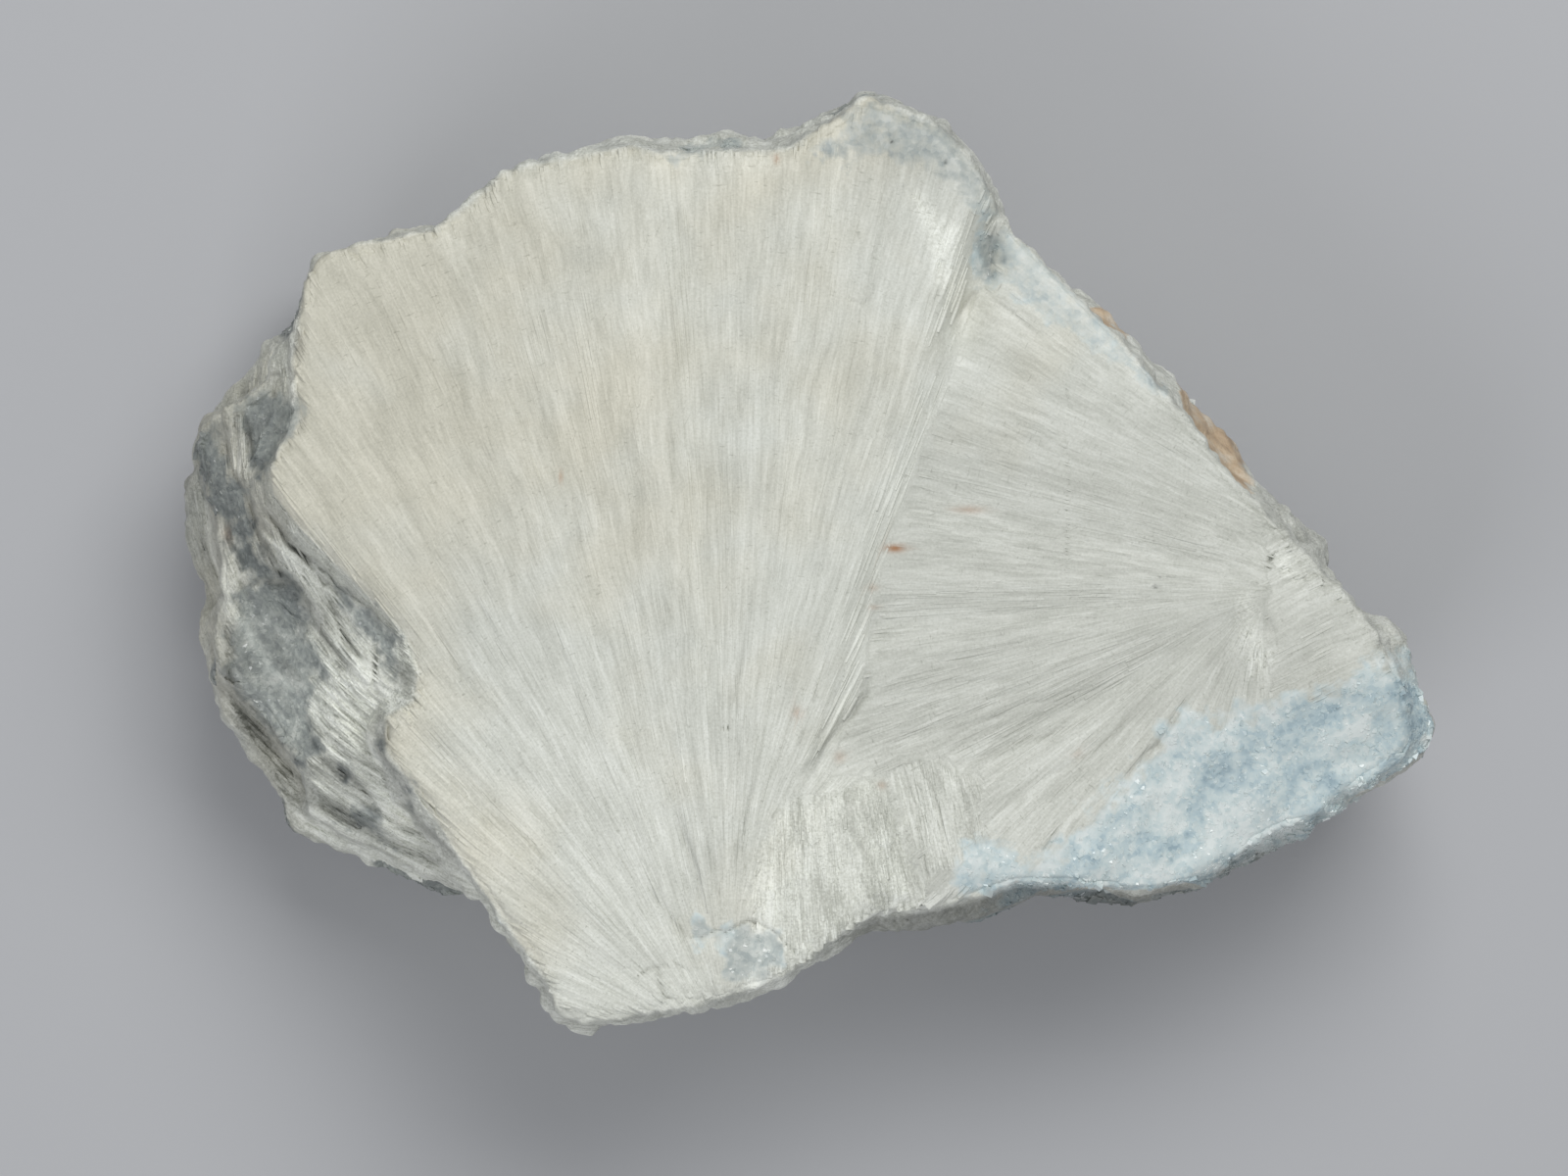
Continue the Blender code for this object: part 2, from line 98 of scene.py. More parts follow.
FACE_OUTLINE = [
    (8, 60), (3, 57), (-2.5, 53), (-10.5, 53), (-19, 52.5), (-23, 53.5), (-29.5, 52), (-36, 51),
    (-39.5, 50), (-43.5, 46), (-48.5, 42.5), (-56, 41), (-63, 39.5), (-65, 36), (-65.5, 32),
    (-66.5, 25.5), (-65.5, 18.5), (-68, 15), (-69.5, 11.5), (-69, 8.5), (-65, 3.5), (-57.5, -4),
    (-52, -9.5), (-50.5, -14), (-50.8, -18), (-54.5, -20), (-54.8, -24), (-51.5, -28.5), (-48, -33.5),
    (-43.5, -40.5), (-38.5, -47.5), (-34, -54), (-32.5, -58.5), (-28.5, -60), (-22, -58.5),
    (-10.5, -56), (-3, -53.5), (2, -50), (7.5, -46), (13.5, -45), (20, -44), (27, -41.5), (34.5, -42),
    (42.5, -43), (48.5, -41.5), (56, -38), (62.5, -34.5), (68.5, -30), (75.5, -26), (78, -23),
    (76.5, -16), (73, -9.5), (69.5, -5), (65.5, -1.5), (60, 4.5), (53, 13), (46.5, 21), (40.5, 28),
    (35.5, 33.5), (33, 35.5), (29, 40), (25, 43), (24, 46.5), (21, 51.5), (17, 56), (13.5, 57),
]
SECOND_FAN = [
    (24, 40), (20, 29.5), (17.5, 21.5), (15, 15.5), (12, 6.5), (10, 0.5), (8, -7), (7.5, -13.5),
    (6, -18.5), (4, -23.5), (3, -27.5), (12, -28), (14, -60), (95, -60), (95, 60), (40, 60),
]
CALCITE_CORNER = [
    (24, -44), (33, -37), (38.5, -31), (44, -25), (49, -19.5), (53.5, -20.5), (60, -19), (66, -16),
    (72.5, -13.5), (95, -8), (95, -60), (20, -60),
]
LOW_TUFT = [
    (-6, -36), (-3, -31), (3, -29.5), (8.5, -28), (10.5, -32), (13, -38), (15.5, -43.5), (2, -60),
    (-8, -60), (-7, -42),
]
SIDE_TUFT = [
    (11, -27.5), (14, -25.5), (18, -26), (22, -28), (22.5, -36), (18.5, -40), (15, -40.5), (12.5, -34),
]
TAIL = [(62, 10), (58.8, 0), (58.4, -9), (59.4, -16), (57, -24), (95, -24), (95, 10)]
# Outline, lean of the fibres in degrees at its first corner, and degrees more for each mm along X.
LEANING = ((LOW_TUFT, 88.0, 0.8), (SIDE_TUFT, 100.0, 0.3), (TAIL, 26.0, 0.0))

# Calcite on the left ledge, along the edges and in the low corner.
LEDGE_FACET = [
    (-73.6, -3.5), (-70.9, -2.5), (-67.1, -2.5), (-65.8, -3.7), (-65.5, -8.5), (-62.6, -14.8),
    (-64.6, -16.7), (-63.8, -24.3), (-66.1, -27.4), (-67.3, -25.1), (-69.9, -22.6), (-73.6, -19.6),
    (-75.4, -14.8), (-75.7, -9.1),
]
LEDGE_CALCITE = [
    [(-80, 17), (-77, 18), (-74.5, 10), (-72, 2), (-71, -1.5), (-74, -2), (-77, 5), (-79.5, 12)],
    [(-78.7, 16.7), (-76.8, 17.7), (-75.7, 16.1), (-74.3, 10.4), (-72.6, 7.2), (-71.8, 4.1),
     (-70.9, 0.3), (-68.6, -2.2), (-70.9, -2.5), (-73, -3.5), (-74.2, -0.9), (-75.2, 2.8), (-76.8, 6.6),
     (-78.7, 9.1), (-79.7, 13.5)],
    [(-73.6, 22.4), (-70.5, 23), (-69.2, 21.7), (-66.7, 21.7), (-65.1, 19.8), (-66.1, 16.9), (-68, 15.4),
     (-69.2, 13.2), (-70.9, 11.7), (-72.4, 11.7), (-73, 16.7), (-73.6, 20.5)],
    LEDGE_FACET,
    [(-61.3, -2.5), (-59.5, -3.7), (-56, -6.9), (-53.7, -8.8), (-52.9, -10.4), (-52.2, -14.8),
     (-54.1, -16.1), (-55.5, -14.8), (-56, -11), (-58.3, -8.5), (-60.4, -6)],
    [(-61.9, -26.5), (-60.4, -26.1), (-59.4, -28.3), (-61, -28.7)],
    [(-55.3, -23.6), (-53.7, -26.1), (-51.6, -28.7), (-50.1, -33.5), (-51.2, -34), (-53.2, -30.2),
     (-54.7, -27.4)],
    [(-60.4, -31.2), (-57, -32.4), (-55.4, -35), (-54.1, -37.5), (-57.3, -36), (-60.4, -33.7)],
]
# Painted shade on the rim of the ledge's hollow, then dark and pale mottles of the calcite in the low
# corner.
PAINTED_HOLLOW_SHADE = [
    [(-72.9, -3.7), (-70.9, -2.7), (-69.6, -3.5), (-70.9, -6.2), (-72.4, -7)],
    [(-69.2, -3.7), (-66.1, -3.5), (-65.5, -8.5), (-68, -8.8)],
    [(-66.1, -9.1), (-64.1, -9.8), (-62.9, -14.6), (-64.6, -13.5)],
    [(-67.3, -16.3), (-65.8, -16.1), (-64.6, -20.5), (-66.3, -19.6)],
    [(-66.3, -20.9), (-63.8, -21.1), (-63.3, -24.3), (-65.1, -25.1)],
]
CORNER_DARK = [
    [(36, -36.2), (38.7, -33.1), (39.8, -34.3), (39.5, -37.5), (36.6, -38.1)],
    [(41, -32.2), (42.9, -30.2), (45, -31.2), (43.5, -33.1)],
    [(47.1, -34.3), (48.8, -30.6), (51.3, -25.5), (53.6, -24.3), (56.4, -25.5), (55.5, -28.7),
     (53, -30.6), (51.3, -35), (48.6, -36.5)],
    [(61.2, -22.1), (63.7, -18.8), (68.1, -16.7), (69, -19.8), (67.7, -22.6), (63.7, -23.6)],
    [(42.3, -37.5), (44.8, -35.2), (48.8, -35.6), (47.3, -37.7), (43.5, -38.7)],
    [(63.1, -27.4), (66.2, -25.5), (68.1, -27.4), (65, -29.3)],
    [(75.7, -16.1), (77.6, -14.8), (80.1, -21.7), (77.6, -23.6)],
]
CORNER_PALE = [
    [(37.2, -38.7), (41, -33.7), (47.3, -26.1), (49.2, -27.4), (47.3, -32.4), (49.2, -35), (42.3, -35)],
    [(65.6, -23), (66.5, -21.4), (71.9, -20.9), (71.5, -22.6), (67.7, -24.3)],
    [(51.7, -35), (52.4, -30.6), (54.9, -31.2), (59.9, -33.7), (65, -30.6), (66.2, -31.8), (59.9, -37.5),
     (52.4, -40)],
    [(34.7, -40), (41, -38.7), (52.4, -37.5), (53.6, -40), (44.8, -41.9), (37.2, -41.9)],
]
PEAK_CALCITE = [
    [(1, 53), (5, 57), (8, 60.3), (14, 57.5), (19, 56), (22, 51), (24.5, 44), (22.5, 42), (20, 46),
     (16, 50), (10, 53), (5, 51.5)],
]
RIGHT_EDGE_CALCITE = [
    [(24.6, 43.8), (25.9, 42.9), (29.7, 40), (34.7, 34.3), (39.8, 28.7), (46.1, 23.2), (49.2, 18.6),
     (46.1, 21.5), (37.2, 27), (32.2, 29.9), (27.2, 34.3), (25.9, 37.5), (24.4, 35.6), (22.7, 35.3),
     (23.4, 41.9)],
]
GREY_LUMPS = [
    [(22.1, 42.5), (24.4, 42.9), (24.9, 39.1), (23.6, 35.3), (22.1, 34.3), (21.1, 36.2)],
    [(-11.3, -46.9), (-7.5, -46.1), (-4.3, -47.6), (-2.5, -49.5), (-3.1, -52), (-6.2, -54.5),
     (-10.9, -54.5), (-11.7, -50.1)],
    [(-15.3, -47.6), (-14.7, -45.7), (-12.9, -45.5), (-12.2, -47.8), (-13.8, -48.6)],
]
SMALL_CALCITE = [
    [(20.2, -36.2), (23.1, -35.2), (24.9, -36), (27.2, -37.5), (28.2, -40), (24, -43.2), (20.2, -43.8),
     (17.3, -41.9)],
    [(-18.8, 53), (-13.2, 54.5), (-5.6, 54.5), (0.7, 53.2), (1.3, 52), (-5.6, 53.2), (-13.2, 53),
     (-16.9, 52)],
]
# Patches of coarser and whiter fibres.
WHITE_PATCH = [
    [(12.7, 47.2), (14.6, 46.9), (16.8, 44.2), (19.3, 42.1), (19, 38.7), (17.7, 34.3), (16.4, 35),
     (15.8, 39.1), (15.2, 41.9), (13.9, 44.7)],
    [(55.1, -5), (56.8, -4.1), (58, -8.5), (59.7, -12.3), (58.9, -15.1), (56.9, -14.8), (55.4, -11)],
    [(59.4, 1.6), (62.4, 0.9), (65.6, -2.2), (63.7, -3.7), (60.5, -2.2)],
    [(-55.4, -16.8), (-50, -16.4), (-49.7, -18.8), (-51, -20.7), (-53.5, -19.8), (-55.3, -18.6)],
    [(-53.2, -8.8), (-51.6, -9.5), (-49.7, -13.5), (-50.3, -14.8), (-52.2, -13.5), (-52.9, -11)],
    [(-70.7, 28.2), (-66.5, 28.6), (-66, 23), (-69, 22.7)],
]
# Lumps of garnet rock on the far side: centre and radii along X, Y and Z.
GARNET = [((39.5, 31, 36), (3.5, 4, 9)), ((53, 15, 31), (6.5, 9, 14))]

# Creases and cracks: a path, its depth and its half width. A lath that stands up has a negative depth.
GROOVES = [
    # main fan
    ([(-7.5, -8.8), (-9.1, -14.8), (-9.4, -21.1)], 0.35, 0.28),
    ([(3, -10.4), (1.7, -14.8), (0.1, -18)], 0.3, 0.28),
    ([(7.6, -13.9), (7.1, -17.6), (3.2, -23), (0.1, -28)], 0.75, 0.42),
    ([(5.5, -18.6), (1.3, -24.9), (-1.2, -28)], 0.45, 0.35),
    ([(4.5, -16.1), (2.2, -21.1), (-0.6, -25.5)], 0.3, 0.3),
    ([(-16.9, -32.4), (-14.2, -40), (-12.9, -46.9)], 0.5, 0.4),
    ([(-12.9, -36.2), (-11.3, -45)], 0.4, 0.35),
    ([(-6.9, -28.7), (-9.6, -40)], 0.35, 0.35),
    ([(-21.4, -41.3), (-15.7, -48.2)], 0.3, 0.35),
    ([(-11.3, -21.7), (-10, -21.4)], 0.5, 0.25),
    ([(-9.1, -21.7), (-8.5, -28.7)], 0.25, 0.3),
    ([(-33.3, -6), (-28.3, -21.1)], 0.2, 0.3),
    ([(-43.4, -3.5), (-38.4, -13.5)], 0.2, 0.3),
    ([(-49.7, -6), (-40.9, -21.1)], 0.25, 0.3),
    # cracks
    ([(-15.7, -48.2), (-13.8, -48.4), (-11.3, -47.8), (-10.4, -47.9), (-8.8, -46.6), (-7.5, -46.1),
     (-4.3, -47.6), (-2.5, -49.5), (-1.6, -50.7)], 0.7, 0.16),
    ([(-22.6, -53.9), (-20.1, -52.6), (-16.9, -52), (-15.4, -52.9)], 0.5, 0.16),
    ([(-19.2, -52.9), (-18.5, -55.8), (-16.9, -56.4)], 0.6, 0.25),
    ([(60.3, 1.3), (59.5, -0.7)], 0.8, 0.25),
    ([(32.2, -33.7), (31.9, -35.6), (30.3, -37.7)], 0.6, 0.3),
    ([(40.4, -28), (44.8, -23.9), (49.2, -17.3)], 0.5, 0.3),
    ([(33.7, 25.5), (33.2, 12.9), (33.5, 7.9), (33.2, 1.6), (33.5, -6)], 0.22, 0.16),
    ([(37.9, -0.3), (37, -8.5)], 0.12, 0.15),
    # second fan
    ([(15.8, -12.7), (22.1, -12.3), (28.4, -10.4)], 0.23, 0.5),
    ([(10.1, -24.3), (13.3, -22.4), (20.2, -20.1), (27.2, -16.1)], 0.23, 0.45),
    ([(19.6, -26.5), (23.4, -24.9), (29.7, -22.6), (36, -20.5)], 0.3, 0.42),
    ([(16.4, -22.4), (22.1, -20.9), (28.4, -18.3), (46.1, -14.8)], 0.25, 0.45),
    ([(17.1, -16.7), (23.4, -15.4), (29.7, -14.8)], 0.15, 0.4),
    ([(22.1, -7), (27.8, -6.6), (33.5, -6)], 0.15, 0.3),
    ([(29.7, -28.7), (36, -24.9), (43.5, -18.8)], 0.2, 0.4),
    ([(23.4, -36.2), (29.7, -31.2), (36, -27.4)], 0.17, 0.4),
    ([(23.4, 34.3), (26.5, 31.8), (29.9, 28.7)], 0.25, 0.3),
    ([(22.1, 31.8), (25.9, 29.9)], 0.15, 0.3),
    ([(23.4, 20.5), (32.2, 18)], 0.12, 0.35),
    ([(22.1, 12.9), (29.7, 11)], 0.1, 0.3),
    ([(36, -2.2), (44.8, -1.3)], 0.1, 0.3),
    # edges
    ([(24, 43.8), (23.4, 35.6)], 0.9, 0.9),
    ([(22.1, 35.3), (18.3, 29.9)], 0.5, 0.5),
    ([(4.7, 33.7), (7, 33.1), (8, 34.3)], 0.2, 0.25),
    ([(58.9, -7), (59.9, -9.8)], 0.5, 0.45),
    # ledge
    ([(-66.1, 29.9), (-65.7, 26.5)], 1.62, 0.57),
    ([(-69.9, 24), (-66.5, 24.6)], 1.08, 0.34),
    ([(-71.4, 7.2), (-68.6, 4.1), (-66.1, 1.6), (-63.6, -0.3), (-60.4, -3.2), (-56, -6.6),
     (-53.5, -9.1)], 1.22, 0.4),
    ([(-72.4, 7.9), (-71.4, 2.8), (-69.2, -0.9), (-66.7, -2.8), (-64.8, -6), (-62.9, -9.8),
     (-59.8, -13.5)], 1.08, 0.46),
    ([(-67.3, 3.5), (-64.2, -0.9), (-62.3, -3.5)], 0.68, 0.34),
    ([(-62.3, -4.7), (-59.8, -9.8), (-57, -14.8)], 0.81, 0.4),
    ([(-56.3, -10.4), (-55.8, -14.8), (-56.3, -16.7)], 0.94, 0.4),
    ([(-75.9, -9.8), (-75.5, -16.1), (-73.6, -20.5), (-70.5, -23), (-67.3, -26.8), (-64.8, -30.6),
     (-61, -32.4), (-58.5, -34.3), (-54.7, -36.9)], 1.76, 1.03),
    ([(-56, -16.7), (-55.3, -19.8), (-55, -23), (-54.7, -26.1), (-52.9, -28.7), (-52, -31.8),
     (-50.7, -34), (-48.4, -35.6), (-46.6, -37.5)], 1.49, 0.8),
    ([(-61.7, -26.8), (-59.8, -28.3)], 1.22, 0.69),
    ([(-54.7, -34.3), (-47.2, -36.5)], 0.68, 0.34),
    ([(-53.5, -37.7), (-46.6, -39.5)], 0.81, 0.4),
    ([(-66.1, -34), (-59.8, -36.5), (-53.5, -39)], 0.68, 0.34),
    ([(-73.6, -3.5), (-70.9, -2.5), (-67.3, -2.5), (-65.8, -3.7)], 0.94, 0.52),
    ([(-77.4, 9.1), (-75.2, 3.5), (-73.6, -2.2)], 0.81, 0.52),
    ([(-72.6, 9.8), (-69.6, 12.7)], -0.68, 0.4),
    ([(-68.9, 16.7), (-66.1, 16.7), (-64.8, 18.6)], 0.68, 0.4),
    ([(-75.9, 16.7), (-74.7, 11.7), (-72.4, 7.6)], 0.81, 0.4),
    ([(-73.6, 20.5), (-72.4, 15.4), (-72.1, 11)], 0.68, 0.4),
    ([(-63.6, -19.6), (-60.4, -20.5)], 0.54, 0.29),
    ([(-62.9, -21.7), (-59.8, -22.4)], 0.47, 0.29),
    ([(-60.4, -24.9), (-55.4, -27.4), (-53.5, -30.6)], 0.68, 0.4),
    ([(-63.6, -24.9), (-58.5, -28.7), (-56, -32.4)], 0.68, 0.4),
    ([(-65.5, -20.5), (-63.8, -25.5), (-60.4, -28.7)], 0.54, 0.46),
]

# Iron stains and specks: centre, radius along X, radius along Y and strength.
STAINS = [
    (11.2, 1.6, 1.3, 0.5, 1.0), (20.9, 6.6, 1.9, 0.5, 0.45), (-1.4, -19.5, 0.8, 0.8, 0.35),
    (4.1, -25.3, 0.8, 0.8, 0.3), (9.5, -28.9, 0.6, 0.5, 0.35), (-4.1, 51.6, 0.4, 0.6, 0.6),
    (-31.8, 10.8, 0.25, 0.8, 0.5), (8.2, -3.5, 0.9, 0.35, 0.3), (8.4, -6.0, 0.8, 0.3, 0.3),
    (-75.6, 3.5, 0.6, 1.2, 0.35), (34.7, -24.8, 0.9, 0.7, 0.2),
]
SPECK_RADIUS = 0.2
SPECKS = [(45.3, -2.0), (44.8, -3.3), (10.8, 53.9), (12.0, 48.2), (17.7, 51.3)]


# ---------- numbers over the plan
def fade(value, low, high):
    """0 below low, 1 above high, and a soft change between them."""
    t = np.clip((value - low) / (high - low), 0, 1)
    return t * t * (3 - 2 * t)


def on_plan(x, y):
    """Plan places as points at height 0."""
    return np.stack([x, y, np.zeros_like(x)], axis=1)


def nearest_on_path(x, y, path):
    """Plan distance from each point to an open path, and how far along it the nearest spot is, 0 to 1."""
    nearest, share = np.full(x.shape, np.inf), np.zeros(x.shape)
    for number, ((ax, ay), (bx, by)) in enumerate(zip(path[:-1], path[1:])):
        dx, dy = bx - ax, by - ay
        t = np.clip(((x - ax) * dx + (y - ay) * dy) / (dx * dx + dy * dy), 0, 1)
        distance = np.hypot(x - ax - t * dx, y - ay - t * dy)
        share = np.where(distance < nearest, (number + t) / (len(path) - 1), share)
        nearest = np.minimum(nearest, distance)
    return nearest, share


def depth_inside(x, y, outline):
    """Plan distance to a closed outline, positive inside it and negative outside."""
    inside = np.zeros(x.shape, bool)
    for (ax, ay), (bx, by) in zip(outline, outline[1:] + outline[:1]):
        if ay != by:
            inside ^= ((ay > y) != (by > y)) & (x < ax + (y - ay) * (bx - ax) / (by - ay))
    distance, _ = nearest_on_path(x, y, outline + outline[:1])
    return np.where(inside, distance, -distance)


def deepest(x, y, outlines):
    """The greatest depth inside any of several outlines."""
    return np.max([depth_inside(x, y, outline) for outline in outlines], axis=0)


def in_patches(x, y, outlines, ragged, seed, soft=1.2):
    """1 inside any outline and 0 outside. The border is uneven by `ragged` and blurred by `soft` mm."""
    wander = rough(on_plan(x, y), (1, 2.4, seed), (0.7, 0.9, seed + 1))
    return fade(deepest(x, y, outlines) + ragged * wander, -soft, soft)


def scatter(a, b, c, seed):
    """One repeatable value from -1 to 1 for each whole-number cell."""
    h = (a * 374761393 + b * 668265263 + c * 974634777 + seed * 362437) & 0xFFFFFFFF
    h = ((h ^ (h >> 13)) * 1274126177) & 0xFFFFFFFF
    return ((h ^ (h >> 16)) & 0xFFFF) / 32767.5 - 1


def noise(points, size, seed):
    """Smooth noise from -1 to 1 with features about `size` across, at each row of points."""
    place = points / size
    cell = np.floor(place).astype(np.int64)
    share = place - cell
    share = share * share * (3 - 2 * share)
    total = np.zeros(len(points))
    for corner in np.ndindex(2, 2, 2):
        weight = np.prod(np.where(corner, share, 1 - share), axis=1)
        total += weight * scatter(*(cell + corner).T, seed)
    return total


def rough(points, *layers):
    """Layers of noise added up, each given by its height, its size and its seed."""
    return sum(height * noise(points, size, seed) for height, size, seed in layers)


def laths(across, along, width, length, seed):
    """Long flat-topped strips of unlike height, each broken off at its own places."""
    column = np.floor(across / width).astype(np.int64)
    edge = fade(across / width - column, 0.8, 1.0)
    none = np.zeros_like(column)

    def height(strip):
        place = along / length + 0.5 * scatter(strip, none, none, seed)
        return scatter(strip, np.floor(place).astype(np.int64), none, seed + 1)

    return height(column) * (1 - edge) + height(column + 1) * edge


# ---------- the fibre field
def zone_of(x, y):
    """What shows at each place on the top; beside the face and the ledge it counts as calcite."""
    zone = np.full(x.shape, MAIN)
    for kind, outline in ((SECOND, SECOND_FAN), (LOW, LOW_TUFT), (SIDE, SIDE_TUFT)):
        zone = np.where(depth_inside(x, y, outline) > 0, kind, zone)
    off_face = depth_inside(x, y, FACE_OUTLINE) < 0
    zone = np.where(off_face, np.where(x < LEDGE_SIDE, LEDGE, CALCITE), zone)
    return np.where(calcite_share(x, y) > 0.5, CALCITE, zone)


def fibre_field(x, y):
    """(across, along, heading) at each plan point: mm across and along the fibres, and their direction."""
    plan = on_plan(x, y)
    blend = fade(x + 0.15 * y, -24, -9)
    fx, fy = (left + blend * (right - left) for left, right in zip(MAIN_FOCUS, MAIN_RIGHT_FOCUS))
    turn = np.arctan2(y - fy, x - fx)
    field = (-MAIN_REACH * turn, np.hypot(x - fx, y - fy), turn)
    # the other parts lie over the main fan, each with its own field
    sx = SECOND_LOW_FOCUS[0] + fade(y, -8, 8) * (SECOND_HIGH_FOCUS[0] - SECOND_LOW_FOCUS[0])
    sy = SECOND_LOW_FOCUS[1]
    turn = np.mod(np.arctan2(y - sy, x - sx), 2 * math.pi)
    inside = depth_inside(x, y, SECOND_FAN) > 0
    parts = [(inside, -SECOND_REACH * turn, np.hypot(x - sx, y - sy), turn)]
    wander = rough(plan, (0.8, 2.2, 23), (0.4, 0.8, 25))
    for outline, lean, spread in LEANING:
        inside = depth_inside(x, y, outline) + wander > 0
        turn = np.radians(lean + spread * (x - outline[0][0]))
        across, along = x * np.sin(turn) - y * np.cos(turn), x * np.cos(turn) + y * np.sin(turn)
        parts.append((inside, across, along / 2.5, turn))
    depth = depth_inside(x, y, FACE_OUTLINE)
    ledge = (depth < 0) & (x < LEDGE_SIDE) & (y < 32)
    # near the face the ledge's fibres run along its edge, and further out round the centre
    beside = (depth > -4 - 1.5 * noise(plan, 3.0, 26)) & (y > -6)
    dx, dy = x - LEDGE_CENTRE[0], y - LEDGE_CENTRE[1]
    around = np.arctan2(dy, dx)
    across = np.where(beside, -1.3 * depth, np.hypot(dx, dy))
    parts.append((ledge, across, LEDGE_REACH * np.mod(around, 2 * math.pi), around + math.pi / 2))
    for inside, *local in parts:
        field = [np.where(inside, new, old) for new, old in zip(local, field)]
    across, along, heading = field
    return across + 0.6 * noise(plan, 8.0, 21) + 0.12 * noise(plan, 1.6, 22), along, heading


def tufted_share(x, y):
    """1 on the coarse tufts, less on the finer side tuft, and 0 on the silky faces."""
    coarse = in_patches(x, y, [LOW_TUFT] + WHITE_PATCH, 0.5, 41)
    return np.maximum(coarse, 0.5 * in_patches(x, y, [SIDE_TUFT], 0.5, 43))


def calcite_share(x, y):
    """1 where calcite shows on the top and 0 where the rock is fibrous."""
    share = in_patches(x, y, [CALCITE_CORNER], 1.8, 7, 3.0)
    for outlines, most, soft in (
        (PEAK_CALCITE, 0.65, 2.0), (RIGHT_EDGE_CALCITE, 0.55, 1.2),
        (GREY_LUMPS + SMALL_CALCITE, 0.8, 1.2), (LEDGE_CALCITE, 0.85, 1.8),
    ):
        share = np.maximum(share, most * in_patches(x, y, outlines, 1.2, 11, soft))
    return share


def calcite_at(points, cover):
    """How much of the rock is calcite at each point: by the zones on the top, and in lenses on the walls."""
    x, y, z = points.T
    lens = noise(points * (1, 1, 1.6), 16.0, 61) + 0.4 * noise(points, 4.0, 62)
    lens = lens + 0.5 * fade(depth_inside(x, y, CALCITE_CORNER), -4, 2) - 0.6 * fade(z, 30, 42)
    on_top = (cover > 0.25) & (z > UPPER_SIDE)
    return np.where(on_top, calcite_share(x, y), fade(lens, 0.05, 0.55))


def garnet_at(points):
    """How much of the rock is garnet at each point."""
    rugged = rough(points, (0.5, 5.0, 63), (0.25, 1.8, 64))
    lumps = [1 - np.linalg.norm((points - centre) / radii, axis=1) for centre, radii in GARNET]
    off_face = fade(-depth_inside(points[:, 0], points[:, 1], FACE_OUTLINE), -0.5, 0.5)
    return fade(np.max(lumps, axis=0) + rugged, -0.15, 0.25) * off_face


def torn_relief(x, y, across, along):
    """The ledge's broken bundles: ridges along the fibres, thinner laths on them and small grit."""
    bundle = on_plan(across, along / 4.5)
    ridges = 0.5 - 1.1 * np.abs(noise(bundle, 3.4, 8)) + 0.28 - 0.6 * np.abs(noise(bundle, 1.5, 9))
    creases = 0.2 - 0.5 * np.abs(noise(bundle, 0.75, 12))
    grit = 0.13 * noise(on_plan(x, y), 0.9, 11)
    return ridges + creases + 0.13 * laths(across, along, 0.5, 3.0, 24) + grit


def knobbly_relief(points):
    """The walls' rounded knobs, with small grit on them."""
    drawn = points * (1, 1, 0.6)
    knobs = 0.9 * np.abs(noise(drawn, 3.6, 13)) + 0.5 * np.abs(noise(drawn, 1.7, 17))
    return knobs - 0.35 + 0.14 * noise(points, 1.0, 18)


# ---------- mesh and numbers
def triples(things, field, kind=float):
    """Three numbers for each vertex, or for each face of a triangulated mesh."""
    numbers = np.empty(len(things) * 3, kind)
    things.foreach_get(field, numbers)
    return numbers.reshape(-1, 3)


def points_of(obj):
    return triples(obj.data.vertices, "co") / MM


def set_points(obj, points):
    obj.data.vertices.foreach_set("co", (points * MM).ravel())
    obj.data.update()


def set_attribute(obj, name, values):
    """Stores one number, or one triple, for each vertex."""
    kind, field = ("FLOAT", "value") if values.ndim == 1 else ("FLOAT_VECTOR", "vector")
    stored = obj.data.attributes.get(name) or obj.data.attributes.new(name, kind, "POINT")
    stored.data.foreach_set(field, values.ravel())


def apply_modifier(obj, kind, **settings):
    modifier = obj.modifiers.new(kind.title(), kind)
    for name, value in settings.items():
        setattr(modifier, name, value)
    bpy.ops.object.select_all(action="DESELECT")
    obj.select_set(True)
    bpy.context.view_layer.objects.active = obj
    bpy.ops.object.modifier_apply(modifier=modifier.name)


def new_object(name, points, faces):
    """A mesh object from points in mm and faces of one size."""
    mesh = bpy.data.meshes.new(name)
    mesh.from_pydata(points * MM, [], np.asarray(faces).tolist())
    obj = bpy.data.objects.new(name, mesh)
    bpy.context.scene.collection.objects.link(obj)
    return obj


# ---------- the refined block
def refined_block():
    """A finer copy of the solid, with its facets softened."""
    block = bpy.data.objects.new("fibrous_block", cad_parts[NODE].data.copy())
    bpy.context.scene.collection.objects.link(block)
    block.data.materials.clear()
    bm = bmesh.new()
    bm.from_mesh(block.data)
    bmesh.ops.remove_doubles(bm, verts=bm.verts, dist=1e-6)
    bm.to_mesh(block.data)
    bm.free()
    apply_modifier(block, "REMESH", mode="VOXEL", voxel_size=BODY_VOXEL * MM)
    apply_modifier(block, "SMOOTH", factor=0.5, iterations=4)
    return block


